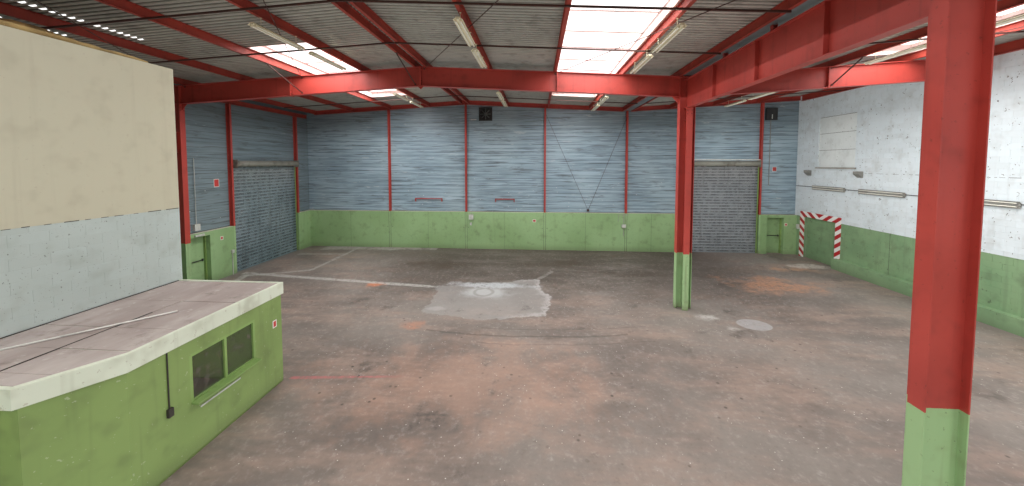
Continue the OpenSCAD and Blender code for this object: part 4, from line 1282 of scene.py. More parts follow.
    def cleats(self) -> None:
        """Angle cleats that hold the purlins on the rafters, with their bolts."""
        xs = PURLIN_X + BAY_PURLIN_X + [PLAN.ridge - RIDGE_OFF, PLAN.ridge + RIDGE_OFF]
        points = [(x, y, PLAN.purlin(x) + 0.002) for x in xs for y in PLAN.frames]
        cleat = Shape().box((0.004, -0.09, 0.0), (0.014, 0.09, 0.16))
        cleat.box((0.014, -0.09, 0.0), (0.07, 0.09, 0.008))
        for y in (-0.045, 0.045):
            cleat.prism(hexagon(y, 0.11, 0.014), Axis.X, 0.014, 0.026)
        REPEAT.run("purlin_cleats", points, cleat, "red_purlin", "red_purlin")


def hexagon(a: float, b: float, r: float) -> list[Flat]:
    """Outline of a bolt's head round a, b."""
    return [(a + r * math.cos(math.pi * k / 3), b + r * math.sin(math.pi * k / 3)) for k in range(6)]


# Steel frames


@dataclass
class Bolts:
    """Bolt heads on the frames' splices, end plates and knees."""

    head: float = 0.018
    out: float = 0.014
    rows: tuple[float, ...] = (0.07, 0.19, 0.51, 0.63)

    def build(self) -> None:
        """Sets the heads on both sides of each plate."""
        plates = [(PLAN.ridge - 5.0, 0.02), (PLAN.ridge + 5.0, 0.02), (PLAN.valley + 4.6, 0.02),
                  (PLAN.ridge, 0.0405)]
        for side, name in ((1, "bolts_east"), (-1, "bolts_west")):
            points = [(x + side * t, y + w, PLAN.rafter(x) + z) for x, t in plates for y in PLAN.frames
                      for w in (-0.07, 0.07) for z in self.rows]
            head = Shape().prism(hexagon(0.0, 0.0, self.head), Axis.X, *sorted((0.0, side * self.out)))
            head.tube([(side * self.out, 0, 0), (side * (self.out + 0.012), 0, 0)], 0.009, 8)
            REPEAT.run(name, points, head, "bolt", "red_steel")
        self.columns()

    def columns(self) -> None:
        """Heads on the columns' outer flanges and on the half sections under the deep girder."""
        low = PLAN.rafter(PLAN.left) - 0.25
        points = [(PLAN.left, y + w, low + z) for y in PLAN.frames
                  for w in (-0.07, 0.07) for z in (0.0, 0.12)]
        head = Shape().prism(hexagon(0.0, 0.0, self.head), Axis.X, 0.0, self.out)
        REPEAT.run("bolts_left_columns", points, head, "bolt", "red_steel")
        face = 0.276
        for name, y, side in (("bolts_stub_north", PLAN.bay - face, -1), ("bolts_stub_south", face, 1)):
            points = [(PLAN.valley + w, y, 7.3 - z) for w in (-0.07, 0.07) for z in (0.1, 0.22)]
            stud = Shape().prism(hexagon(0.0, 0.0, self.head), Axis.Y, *sorted((0.0, side * self.out)))
            REPEAT.run(name, points, stud, "bolt", "red_steel")


# Metal walls


@dataclass
class Cladding:
    """Metal wall: core, lining in horizontal courses on the hall side and upright ribs outside."""

    name: str
    node: str
    along: Axis
    face: float
    back: float
    regions: list[Region]
    course: float = 0.45
    swage: float = 0.007
    tray: float = 0.014
    fold: float = 0.006
    line: Flat = (0.22, 0.25)
    rib: float = 0.25
    rib_flat: float = 0.15
    rib_crest: Flat = (0.175, 0.225)
    rib_depth: Flat = (0.034, 0.002)
    skin: float = 0.036
    core_face: float = 0.012

    def at(self, u: float, depth: float, z: float) -> Point:
        """Point at u along the wall, depth into it from the hall face, and height z."""
        n = self.face + (depth if self.back > self.face else -depth)
        return (u, n, z) if self.along is Axis.X else (n, u, z)

    def top(self, u: float, limit: float) -> float:
        """Height of the top of the wall at u, not over a limit."""
        return min(limit, (PLAN.roof(u) if self.along is Axis.X else PLAN.roof(self.back)) - 0.002)

    def build(self) -> None:
        """Builds core, lining and ribs."""
        core, lining, ribs = Shape(), [], []
        thick = abs(self.back - self.face)
        for i, (u0, u1, z0, z1) in enumerate(self.regions):
            a, b = u0 + 1e-4, u1 - 1e-4
            ring = [(a, z0), (b, z0), (b, self.top(b, z1)), (a, self.top(a, z1))]
            core.loft([[self.at(u, d, z) for u, z in ring] for d in (self.core_face, thick - self.skin)])
            lining.append(self.lined(f"{self.name}_l{i}", a, b, z0, z1))
            ribs.append(self.ribbed(f"{self.name}_r{i}", a, b, z0, z1))
        piece(self.name + "_core", core, "flashing", "liner", stands_for=(self.node,))
        for end, made, dressed in (("_lining", lining, "liner"), ("_ribs", ribs, "outer_sheet")):
            place(joined(self.name + end, made), dressed, "liner", stands_for=(self.node,))

    def lined(self, name: str, a: float, b: float, z0: float, z1: float) -> Object:
        """Lining of one stretch: flat trays with a lap and a pressed line in each.

        Args:
            name: its name.
            a: start along the wall.
            b: end along the wall.
            z0: its foot.
            z1: its highest top.

        Returns:
            The lining, not yet placed.
        """
        s, c, fold, (low, high) = self.swage, self.course, self.fold, self.line
        first = PLAN.dado + math.floor((z0 - PLAN.dado) / c - TINY) * c
        front = [(0.0, 0.0), (0.0, self.tray), (s, self.tray + fold), (s, low), (0.0, low + fold),
                 (0.0, high), (s, high + fold), (s, c - fold), (0.0, c)]
        ring = [(s - d, z) for d, z in front] + [(self.tray, c), (self.tray, 0.0)]
        ends = [[self.at(u, d, first + z) for d, z in ring] for u in (a, b)]
        count = math.ceil((max(self.top(a, z1), self.top(b, z1)) - first) / c) + 1
        made = ROW.run(name, Shape().strip(*ends), count, (0.0, 0.0, c), "liner")
        trim(made, self.at(a, 0.0, z0 + 0.001), (0.0, 0.0, -1.0))
        return self.sloped(made, a, b, z1)

    def ribbed(self, name: str, a: float, b: float, z0: float, z1: float) -> Object:
        """Outer skin of one stretch: upright ribs.

        Args:
            name: its name.
            a: start along the wall.
            b: end along the wall.
            z0: its foot.
            z1: its highest top.

        Returns:
            The skin, not yet placed.
        """
        count = max(1, round((b - a) / self.rib))
        pitch = (b - a) / count
        k, (foot, crest) = pitch / self.rib, self.rib_depth
        line = [(0.0, foot), (self.rib_flat * k, foot), *((u * k, crest) for u in self.rib_crest),
                (pitch, foot), (pitch, self.skin), (0.0, self.skin)]
        thick, high = abs(self.back - self.face), max(self.top(a, z1), self.top(b, z1)) + 0.05
        ends = [[self.at(a + u, thick - d, z) for u, d in line] for z in (z0, high)]
        step = (pitch, 0.0, 0.0) if self.along is Axis.X else (0.0, pitch, 0.0)
        return self.sloped(ROW.run(name, Shape().strip(*ends), count, step, "outer_sheet"), a, b, z1)

    def sloped(self, made: Object, a: float, b: float, z1: float) -> Object:
        """Cuts the top to the roof, or level at z1."""
        za, zb = self.top(a, z1), self.top(b, z1)
        away = (za - zb, 0.0, b - a) if self.along is Axis.X else (0.0, 0.0, 1.0)
        return trim(made, self.at(a, 0.0, za), away)


# Block walls


@dataclass
class Blockwork:
    """Wall face of blocks in running bond, each with broken edges."""

    name: str
    face: float
    core: float
    spans: list[Region]
    dressed: str
    slot: str
    nodes: tuple[str, ...] = ()
    length: float = 0.5
    course: float = 0.2
    joint: float = 0.005
    edge: float = 0.003
    set_in: float = 0.009
    start: float = 0.2

    def block(self, y0: float, y1: float, z0: float, z1: float) -> tuple[list[Point], list[Face]]:
        """Points and faces of one block, open at the back."""
        sign = 1.0 if self.core > self.face else -1.0
        rings = []
        for inset, depth in ((self.edge, 0.0), (0.0, self.edge), (0.0, self.set_in)):
            x = self.face + sign * depth
            south, north, low, high = y0 + inset, y1 - inset, z0 + inset, z1 - inset
            rings.append([(x, south, low), (x, north, low), (x, north, high), (x, south, high)])
        shape = Shape().loft(rings)
        return shape.points, shape.faces

    def build(self) -> None:
        """Lays the courses of each span."""
        full, rest = [], Shape()
        half = self.joint / 2
        for y0, y1, z0, z1 in self.spans:
            sign = 1.0 if self.core > self.face else -1.0
            xs = sorted((self.face + sign * (self.set_in - 0.002), self.core))
            rest.box((xs[0], y0, z0), (xs[1], y1, z1))
            k = math.floor((z0 - self.start) / self.course + TINY)
            while self.start + k * self.course < z1 - TINY:
                low, high = max(z0, self.start + k * self.course), min(z1, self.start + (k + 1) * self.course)
                shift = 0.5 * self.length * (k % 2)
                j = math.floor((y0 - shift) / self.length)
                while j * self.length + shift < y1 - TINY:
                    a, b = max(y0, j * self.length + shift), min(y1, (j + 1) * self.length + shift)
                    if high - low > self.course - TINY and b - a > self.length - TINY:
                        full.append((0.0, a, low))
                    elif high - low > 0.02 and b - a > 0.03:
                        rest.add(*self.block(a + half, b - half, low + half, high - half))
                    j += 1
                k += 1
        whole = Shape().add(*self.block(half, self.length - half, half, self.course - half))
        REPEAT.run(self.name, full, whole, self.dressed, self.slot, stands_for=self.nodes, beside=rest)


# Shutters


@dataclass
class Shutter:
    """Roller curtain of interlocking laths with its bottom rail, seen from both sides."""

    name: str
    node: str
    along: Axis
    face: float
    span: tuple[float, float]
    lath: float = 0.0815
    low: float = 0.21
    high: float = 5.26

    def at(self, u: float, out: float, z: float) -> Point:
        """Point at u along the opening, out from the wall's face into the hall, at height z."""
        return (u, self.face - out, z) if self.along is Axis.X else (self.face + out, u, z)

    def build(self) -> None:
        """Builds the laths and the rail."""
        a, b = self.span[0] - 0.02, self.span[1] + 0.02
        h = self.lath
        arc = [(0.052, 0.004), (0.058, 0.012), (0.069, 0.03), (0.0715, 0.042), (0.068, 0.056), (0.058, 0.072),
               (0.051, 0.0775)]
        back = [(0.0485, 0.0775), (0.0485, 0.004)]
        ring = arc + back
        strip = Shape().loft([[self.at(u, d, self.low + 0.02 + z) for d, z in ring] for u in (a, b)])
        hook = [(0.049, 0.0), (0.054, 0.0), (0.054, 0.0045), (0.049, 0.0045)]
        strip.loft([[self.at(u, d, self.low + 0.02 + z) for d, z in hook] for u in (a, b)])
        count = int((PLAN.shutter_top + 0.05 - self.low - 0.02) / h)
        laths = ROW.run(self.name + "_laths", strip, count, (0.0, 0.0, h), "curtain")
        place(laths, "curtain", "curtain", stands_for=(self.node,))
        rail = Shape().loft([[self.at(u, d, z) for d, z in ((0.042, 0.206), (0.079, 0.206), (0.079, 0.222),
                                                           (0.066, 0.235), (0.054, 0.235), (0.042, 0.222))]
                             for u in (a, b)])
        top = self.low + 0.02 + count * h
        rail.loft([[self.at(u, d, z) for d, z in ((0.05, top), (0.07, top), (0.07, self.high + 0.03),
                                                  (0.05, self.high + 0.03))]
                   for u in (self.span[0] + 0.002, self.span[1] - 0.002)])
        piece(self.name + "_rail", rail, "curtain", "curtain", stands_for=(self.node,))


# Lamps


@dataclass
class Lamps:
    """Twin lamp fittings under the purlins and along the block wall."""

    length: float = 1.75
    width: float = 0.22

    def fitting(self, length: float) -> tuple[Shape, Shape]:
        """Body and tubes of a fitting round the origin, along Y, its top at 0."""
        w, body, tubes = self.width, Shape(), Shape()
        half = [(0.045, 0.0), (0.055, -0.02), (w / 2, -0.058), (w / 2 - 0.008, -0.06), (0.05, -0.028),
                (0.03, -0.05)]
        ring = [(-0.045, 0.0), *half, *((-x, z) for x, z in half[:0:-1])]
        body.prism(ring, Axis.Y, -length / 2, length / 2)
        for s in (-1, 1):
            for end in (-1, 1):
                y = end * (length / 2 - 0.05)
                body.box((s * 0.055 - 0.022, y - 0.015, -0.092), (s * 0.055 + 0.022, y + 0.015, -0.03))
            tubes.tube([(s * 0.055, end * (length / 2 - 0.04), -0.078) for end in (-1, 1)], 0.015, 12)
        return body, tubes

    def build(self) -> None:
        """Builds all fittings with their hangers."""
        rows = (PURLIN_X[3], PURLIN_X[4], PURLIN_X[6], BAY_PURLIN_X[1])
        points = [(x, bay * PLAN.bay + y, PLAN.purlin(x) - 0.2) for bay in (-2, -1, 0, 1)
                  for y in (3.775, 5.875) for x in rows]
        body, tubes = self.fitting(self.length)
        for s in (-1, 1):
            body.tube([(0.0, s * 0.6, -0.002), (0.0, s * 0.6, 0.1997)], 0.006, 6)
            body.box((-0.02, s * 0.6 - 0.02, 0.19), (0.02, s * 0.6 + 0.02, 0.1997))
        REPEAT.run("lamp_bodies", points, body, "lamp_white", "lamp_white", stands_for=("lamp_fittings",))
        REPEAT.run("lamp_tubes", points, tubes, "tube", "lamp_white", stands_for=("lamp_fittings",))
        self.wall_lamps()

    def wall_lamps(self) -> None:
        """Three fittings on the block wall, each a pair of lobed reflectors on one box."""
        bodies, tubes = Shape(), Shape()
        for y0, y1 in ((13.0, 15.0), (10.25, 12.3), (6.9, 8.9)):
            part, light = self.fitting(y1 - y0)
            mid = (y0 + y1) / 2
            for target, shape in ((bodies, part), (tubes, light)):
                points = [(PLAN.right - 0.001 + z, y + mid, 4.1 - x) for x, y, z in shape.points]
                target.add(points, shape.faces)
        piece("wall_lamp_bodies", bodies, "conduit", "lamp_white", stands_for=("lamp_fittings",))
        piece("wall_lamp_tubes", tubes, "tube", "lamp_white", stands_for=("lamp_fittings",))


# Booth


class Booth:
    """Boarded top, pale edge and fittings of the booth."""

    def build(self) -> None:
        """Builds the top, edge, pole and conduit."""
        top, x0, x1 = PLAN.booth_top, PLAN.inner, PLAN.booth[0] + 0.04
        south, north = PLAN.booth_south - 0.04, PLAN.booth[1] + 0.04
        outline = [(x0, south), (-6.97, south), (x1, -0.2), (x1, north), (x0, north)]
        low = top - 0.275
        edge = Shape().prism(outline, Axis.Z, low, top - 0.045)
        centre = (-7.7, 1.2)
        rings = []
        for inset, z in ((0.0, top - 0.045), (0.0, top - 0.004), (0.012, top), (0.06, top),
                         (0.06, top - 0.02)):
            rings.append([(x + (inset if x < centre[0] and x > x0 else -inset) if x > x0 else x,
                           y + (inset if y < centre[1] else -inset), z) for x, y in outline])
        edge.loft(rings)
        piece("booth_fascia", edge, "fascia", "booth_top", stands_for=("booth_roof",))
        boards = Shape()
        joints = [south + 0.075, south + 0.33, south + 0.95, 0.6, 1.75, north - 0.075]
        for k, (y0, y1) in enumerate(zip(joints, joints[1:])):
            for a, b in ((x0 + 0.03, -7.72), (-7.7, x1 - 0.075)):
                right = [min(b, -6.97 + (v - south) * (x1 + 6.97) / (-0.2 - south) - 0.075) for v in (y0, y1)]
                lift = 0.004 * ((k + (a > -8.0)) % 2)
                outline = [(a, y0 + 0.008), (right[0], y0 + 0.008), (right[1], y1 - 0.008), (a, y1 - 0.008)]
                boards.prism(outline, Axis.Z, top - 0.03, top - 0.012 + lift)
        piece("booth_boards", boards, "boards", "booth_top", bevel=0.003)
        seal = Shape()
        for a, b in (((x0 + 0.012, south + 0.02), (x0 + 0.012, north - 0.02)),
                     ((x0 + 0.1, south + 0.3), (-7.9, south + 0.3)), ((-7.71, south + 0.3), (-7.71, 1.2))):
            seal.tube([(*a, top - 0.008), (*b, top - 0.008)], 0.008, 6)
        piece("booth_top_cable", seal, "dark_cable", "booth_top")
        pole = Shape().tube([(-8.55, -0.3, top + 0.008), (-7.25, 1.25, top + 0.008)], 0.014, 10)
        piece("booth_pole", pole, "notice_white", "booth_top", smooth=True)
        face = PLAN.booth[0]
        pipe = Shape().bent([(face + 0.012, 0.37, 1.35), (face + 0.012, 0.37, 2.29)], 0.011)
        pipe.box((face, 0.33, 1.2), (face + 0.05, 0.41, 1.34))
        pipe.bent([(-8.8, -1.012, 1.35), (-8.8, -1.012, 2.27)], 0.011)
        pipe.box((-8.84, -1.05, 1.2), (-8.76, -1.0, 1.34))
        piece("booth_conduit", pipe, "dark_cable", "booth_green")
        notices("booth_notice", [((face + 0.001, 2.72, 1.67), 0.12, 0.17, Axis.X)])
        strip = Shape().box((face, 0.9, 0.98), (face + 0.012, 1.75, 1.01))
        piece("booth_sill_strip", strip, "box_grey", "booth_green", bevel=0.002)


# Small fittings


def notices(name: str, places: list[tuple[Point, float, float, Axis]]) -> None:
    """Makes small bare notices, red with a white rim.

    Args:
        name: name of the two pieces.
        places: middle, width, height and axis of each, which faces -Y or the side of its width's sign.
    """
    rims, fields = Shape(), Shape()
    for (x, y, z), wide, high, axis in places:
        for shape, edge, depth in ((rims, 0.0, 0.003), (fields, 0.022, 0.005)):
            w, h = abs(wide) / 2 - edge, high / 2 - edge
            if axis is Axis.Y:
                shape.box((x - w, y - depth, z - h), (x + w, y, z + h))
            else:
                shape.box(*sorted(((x, y - w, z - h), (x + math.copysign(depth, wide), y + w, z + h))))
    piece(name + "_rims", rims, "notice_white", "stripes")
    piece(name + "_fields", fields, "notice_red", "stripes")


def dashed_line(x: float, out: float, y0: float, y1: float, z: float, seed: int) -> Shape:
    """Broken line along Y at height z on a face at x.

    Args:
        x: the face.
        out: how far the line stands out, with the sign of its direction.
        y0: start of the line.
        y1: end of the line.
        z: its height.
        seed: seed of its gaps.

    Returns:
        The pieces of the line.
    """
    shape, rng, y = Shape(), random.Random(seed), y0
    while y < y1 - 0.3:
        run = rng.uniform(0.05, 0.3)
        shape.box((min(x, x + out), y, z), (max(x, x + out), y + run, z + rng.uniform(0.008, 0.016)))
        y += run + rng.uniform(0.03, 0.2)
    return shape


@dataclass
class Doors:
    """Dark covers of the push bars on the two doors for people."""

    bar: tuple[Flat, Flat, Flat] = ((0.113, 0.787), (0.043, 0.072), (0.997, 1.033))
    housings: tuple[Flat, ...] = ((0.108, 0.162), (0.738, 0.792))
    housing_depth: Flat = (0.04, 0.0895)
    housing_z: Flat = (0.965, 1.065)

    def build(self) -> None:
        """Builds a bar with its end housings on each door."""
        boxes = [self.bar] + [(span, self.housing_depth, self.housing_z) for span in self.housings]
        for name, spot in (
                ("left_door", lambda u, d, z: (PLAN.clad - d, PLAN.door_left + u, PLAN.floor + z)),
                ("north_door", lambda u, d, z: (PLAN.door_north + u, PLAN.end + d, PLAN.floor + z))):
            shape = Shape()
            for ends in boxes:
                a, b = (spot(*(pair[i] for pair in ends)) for i in (0, 1))
                shape.box(tuple(map(min, a, b)), tuple(map(max, a, b)))
            piece(name + "_push_bar", shape, "fan_dark", "door_green", name, bevel=0.004)


@dataclass
class Outside:
    """Flashings of the outer edges: verges, corners, drips and shutter frames."""

    verge: float = 0.2
    verge_z: Flat = (0.05, 0.054)
    lip: float = 0.03
    lip_z: Flat = (0.038, 0.082)
    side: float = 0.22
    side_z: tuple[float, float, float] = (0.038, 0.042, 0.09)
    corner: float = 0.16
    thick: float = 0.004
    gap: float = 0.0005
    stand: float = 0.022
    drip: Flat = (-0.04, 0.012)
    frame: float = 0.06

    def build(self) -> None:
        """Builds the flashings."""
        self.verges()
        trims = Shape()
        self.corners(trims)
        self.drips(trims)
        self.frames(trims)
        piece("outer_flashings", trims, "outer_trim", "flashing")

    def verges(self) -> None:
        """Flashings along the roof's edges over the gables and over the block wall."""
        shape, out = Shape(), PLAN.out
        lip, spans = self.lip, ((PLAN.clad_out, PLAN.ridge), (PLAN.ridge, PLAN.valley - PLAN.gutter),
                                (PLAN.valley + PLAN.gutter, PLAN.wall))
        for x0, x1 in spans:
            for y0, y1, y in ((-out, -out + self.verge, -out), (out - self.verge, out, out - lip)):
                shape.slope(x0, x1, y0, y1, *self.verge_z)
                shape.slope(x0, x1, y, y + lip, *self.lip_z)
        y, (foot, deck, top) = out - self.verge, self.side_z
        shape.slope(PLAN.wall - self.side, PLAN.wall, -y, y, foot, deck)
        shape.slope(PLAN.wall - lip, PLAN.wall, -y, y, deck, top)
        piece("verge_flashings", shape, "outer_trim", "flashing")

    def corners(self, trims: Shape) -> None:
        """Upright flashings at the ends of the gables."""
        low, high = PLAN.dado, PLAN.roof(PLAN.clad_out) - 0.03
        for y in (-1, 1):
            face = sorted((y * (PLAN.out - self.thick), y * (PLAN.out - self.gap)))
            side = sorted((y * PLAN.out, y * (PLAN.out - self.corner)))
            x = PLAN.clad_out
            trims.box((x, face[0], low), (x + self.corner, face[1], high))
            trims.box((x, side[0], low), (x + self.thick, side[1], high))
            x = PLAN.wall
            trims.box((x - self.corner, face[0], low), (x, face[1], PLAN.roof(x) - 0.05))

    def drips(self, trims: Shape) -> None:
        """Level flashings over the lower wall, broken at the shutters."""
        low, high = (PLAN.dado + z for z in self.drip)
        x0, x1, out = PLAN.clad_out, PLAN.wall, PLAN.out
        for y, a, b in ((-1, x0, x1), (1, x0, PLAN.shut_c[0]), (1, PLAN.shut_c[1], x1)):
            ends = sorted((y * (out - self.stand), y * (out - self.gap)))
            trims.box((a, ends[0], low), (b, ends[1], high))
        for a, b in ((-out, PLAN.shut_a[0]), (PLAN.shut_a[1], PLAN.shut_b[0]), (PLAN.shut_b[1], out)):
            trims.box((x0, a, low), (x0 + self.stand, b, high))

    def frames(self, trims: Shape) -> None:
        """Flashings beside and over each shutter."""
        wide, low, top = self.frame, PLAN.floor, PLAN.shutter_top
        x, near, far = PLAN.clad_out, PLAN.out - self.stand, PLAN.out - self.gap
        for a, b in (PLAN.shut_a, PLAN.shut_b):
            for y in (a - wide, b):
                trims.box((x, y, low), (x + self.stand, y + wide, top + wide))
            trims.box((x, a, top), (x + self.stand, b, top + wide))
        a, b = PLAN.shut_c
        for x in (a - wide, b):
            trims.box((x, near, low), (x + wide, far, top + wide))
        trims.box((a, near, top), (b, far, top + wide))


@dataclass
class Fittings:
    """Brackets, boxes, conduits and bare notices on the walls."""

    floor: float = PLAN.floor

    def build(self) -> None:
        """Builds every small fitting."""
        self.north()
        self.left()
        self.right()
        self.wool()

    def north(self) -> None:
        """Fittings of the gable wall with the fan."""
        y, z, fan_z = PLAN.end, self.floor, PLAN.fan[1]
        red = Shape()
        for x0, x1 in ((-7.94, -6.24), (-2.99, -1.81)):
            red.box((x0, y - 0.1, z + 3.0), (x1, y - 0.06, z + 3.05))
            for x in (x0 + 0.03, x1 - 0.03):
                red.box((x - 0.02, y - 0.1, z + 2.85), (x + 0.02, y + 0.01, z + 3.05))
        piece("north_brackets", red, "red_steel", "red_steel")
        seams = Shape()
        for x in (-9.5, PLAN.ridge, 0.0, PLAN.valley):
            for s in (-1, 1):
                u = x + s * 0.055
                seams.box((u - 0.008, y - 0.1935, z), (u + 0.008, y - 0.1902, PLAN.dado - 0.004))
                seams.prism(hexagon(x + s * 0.14, z + 1.3, 0.022), Axis.Y, y - 0.2, y - 0.1902)
        for x in (-12.0, -7.1, -2.4, 2.4, 6.2):
            seams.box((x - 0.004, y - 0.193, z), (x + 0.004, y - 0.1902, PLAN.dado - 0.004))
        piece("north_seams", seams, "dark_cable", "green_wall")
        boxes = Shape()
        boxes.box((-4.56, y - 0.32, z + 1.8), (-4.3, y - 0.19, z + 2.1))
        boxes.box((-4.5, y - 0.3, z + 1.45), (-4.4, y - 0.19, z + 1.6))
        boxes.box((4.5, y - 0.3, z + 1.42), (4.72, y - 0.19, z + 1.6))
        boxes.box((-4.44, y - 0.14, fan_z - 0.36), (-4.1, y - 0.08, fan_z - 0.31))
        boxes.box((12.73, y - 0.15, fan_z - 0.43), (12.77, y - 0.12, fan_z - 0.19))
        piece("north_boxes", boxes, "box_grey", "lamp_white", bevel=0.004)
        pipes = Shape().tube([(-4.43, y - 0.21, z + 2.1), (-4.43, y - 0.21, z + 2.24)], 0.016)
        pipes.tube([(4.61, y - 0.21, z + 0.9), (4.61, y - 0.21, z + 2.24)], 0.016)
        pipes.bent([(4.3, y - 0.21, z + 1.75), (4.3, y - 0.21, z + 2.16), (4.9, y - 0.21, z + 2.16)], 0.014)
        pipes.tube([(12.75, y - 0.02, z + 3.9), (12.75, y - 0.02, z + 7.62)], 0.018)
        piece("north_conduits", pipes, "conduit", "lamp_white")
        fx, fz, louvre = PLAN.fan[0], PLAN.fan[1], Shape()
        for k in range(9):
            low = fz - 0.36 + k * 0.08
            slat = [(y + 0.075, low), (y + 0.115, low - 0.002), (y + 0.119, low + 0.002),
                    (y + 0.083, low + 0.086), (y + 0.079, low + 0.086)]
            louvre.prism(slat, Axis.X, fx - 0.358, fx + 0.358)
        piece("fan_louvre", louvre, "fan_dark", "fan_dark")
        notices("north_notices", [((-0.62, y - 0.192, z + 1.75), 0.2, 0.16, Axis.Y),
                                  ((13.66, y - 0.192, z + 1.7), 0.14, 0.16, Axis.Y),
                                  ((13.05, y - 0.002, z + 4.85), 0.24, 0.26, Axis.Y)])
        rail = Shape().box((7.9, y - 0.3, z + 5.36), (12.1, y - 0.26, z + 5.4))
        piece("north_rail", rail, "notice_white", "lamp_white")

    def left(self) -> None:
        """Fittings of the left wall and the inner wall."""
        x, z = PLAN.clad, self.floor
        notices("left_notices", [((x + 0.002, 9.9, z + 4.3), 0.26, 0.36, Axis.X),
                                 ((x + 0.192, 9.86, z + 1.82), 0.14, 0.16, Axis.X)])
        extras = Shape().box((x + 0.19, 8.6, z + 2.12), (x + 0.26, 9.0, z + 2.2))
        extras.box((x, 8.72, z + 2.35), (x + 0.12, 8.96, z + 2.62))
        extras.tube([(x + 0.06, 8.84, z + 2.62), (x + 0.06, 8.84, z + 5.4)], 0.014)
        extras.tube([(x + 0.21, 10.36, z), (x + 0.21, 10.36, z + 1.1)], 0.02)
        extras.box((x + 0.19, 10.3, z + 1.02), (x + 0.27, 10.42, z + 1.16))
        piece("left_wall_boxes", extras, "box_grey", "lamp_white", bevel=0.004)
        pipes, f = Shape(), PLAN.inner
        # Painted shadow: short dark dashes along the joint between the cream panels and the blocks below
        joint = dashed_line(f, 0.002, -16.0, PLAN.inner_end, 4.294, 3)
        piece("inner_wall_joint", joint, "dark_cable", "base_panel")
        for run in (((-1.62, 2.85), (-1.62, 3.95)), ((-1.62, 2.7), (-1.62, 1.95), (-1.3, 1.95)),
                    ((-1.5, 2.75), (-0.4, 2.75), (-0.4, 2.42))):
            pipes.bent([(f + 0.015, v, z + w) for v, w in run], 0.013)
        piece("inner_wall_conduits", pipes, "dark_cable", "base_panel")
        boxes = Shape().box((f, -1.72, z + 2.68), (f + 0.07, -1.5, z + 2.88))
        boxes.box((f, -1.0, z + 2.68), (f + 0.06, -0.88, z + 2.84))
        piece("inner_wall_boxes", boxes, "box_grey", "base_panel", bevel=0.004)

    def right(self) -> None:
        """Fittings of the block wall."""
        x, z = PLAN.right, self.floor
        line = Shape().tube([(x - 0.02, 5.2, z + 3.92), (x - 0.02, 16.2, z + 3.92)], 0.014)
        line.bent([(x - 0.02, 1.9, z + 4.4), (x - 0.02, 1.9, z + 1.2)], 0.014)
        piece("block_wall_conduit", line, "dark_cable", "block_white")
        boxes = Shape().box((x - 0.1, 1.84, z + 1.1), (x, 1.98, z + 1.32))
        boxes.box((x - 0.08, 15.86, z + 1.5), (x, 16.02, z + 1.75))
        piece("block_wall_boxes", boxes, "box_grey", "block_white", bevel=0.004)
        notices("block_wall_notices", [((x - 0.002, 2.22, z + 1.33), -0.16, 0.18, Axis.X)])
        bands, lines = Shape(), dashed_line(x, -0.002, 3.0, 12.4, z + 4.72, 5)
        for (y0, y1), top, foot in ((PLAN.gate, PLAN.gate_top, z), (PLAN.porch, PLAN.porch_top, z + 0.502)):
            bands.box((x - 0.006, y0 - 0.33, foot), (x, y0 - 0.152, top + 0.28))
            bands.box((x - 0.006, y1 + 0.152, z), (x, y1 + 0.33, top + 0.28))
            bands.box((x - 0.006, y0 - 0.152, top + 0.152), (x, y1 + 0.152, top + 0.28))
        piece("wide_slant_bands", bands, "stripes", "stripes")
        for y in (8.3, 10.8, 5.9, -4.2, -8.6):
            lines.box((x - 0.003, y, z + 0.5), (x, y + 0.012, PLAN.dado))
        # On the blocked window's fill: the top line and the upright line at its left side are painted shadow
        # of the recess; the two lower lines are thin lines in the fill
        for high in (6.04, 6.89, 7.725):
            lines.box((x + 0.047, 12.62, high), (x + 0.05, 14.75, high + 0.016))
        lines.box((x + 0.047, 12.6, 5.2), (x + 0.05, 12.616, 7.74))
        piece("block_wall_lines", lines, "dark_cable", "block_white")
        bare = Shape().box((x - 0.006, -2.5, z + 4.4), (x, 2.27, PLAN.roof(x) - 0.32))
        piece("bare_wall_panel", bare, "bare_concrete", "block_white")

    def wool(self) -> None:
        """Loose wool on top of the inner wall."""
        rng = random.Random(7)
        f, top = PLAN.inner, self.floor + 7.4
        rings = []
        steps = 150
        for i in range(steps + 1):
            y = -16.2 + (16.2 + 2.5) * i / steps
            rise = 0.42 if y < -0.9 else max(0.03, 0.27 - 0.2 * (y + 0.9) / 3.3)
            clump = 0.82 + 0.11 * math.sin(i * 0.83 + 2.0 * math.sin(i * 0.29)) + 0.06 * math.sin(i * 2.3)
            ring = []
            for k in range(12):
                t = math.pi * k / 11
                w = 0.105 + rng.uniform(-0.02, 0.0)
                h = rise * min(0.98, clump + rng.uniform(-0.12, 0.1))
                ring.append((f - 0.1 + w * math.cos(t) * 0.95, y, top + h * math.sin(t) ** 0.5))
            rings.append(ring)
        made = piece("wool_on_inner_wall", Shape().loft(rings), "wool", "wool", stands_for=("wool_fringe",))
        made.data.shade_smooth()


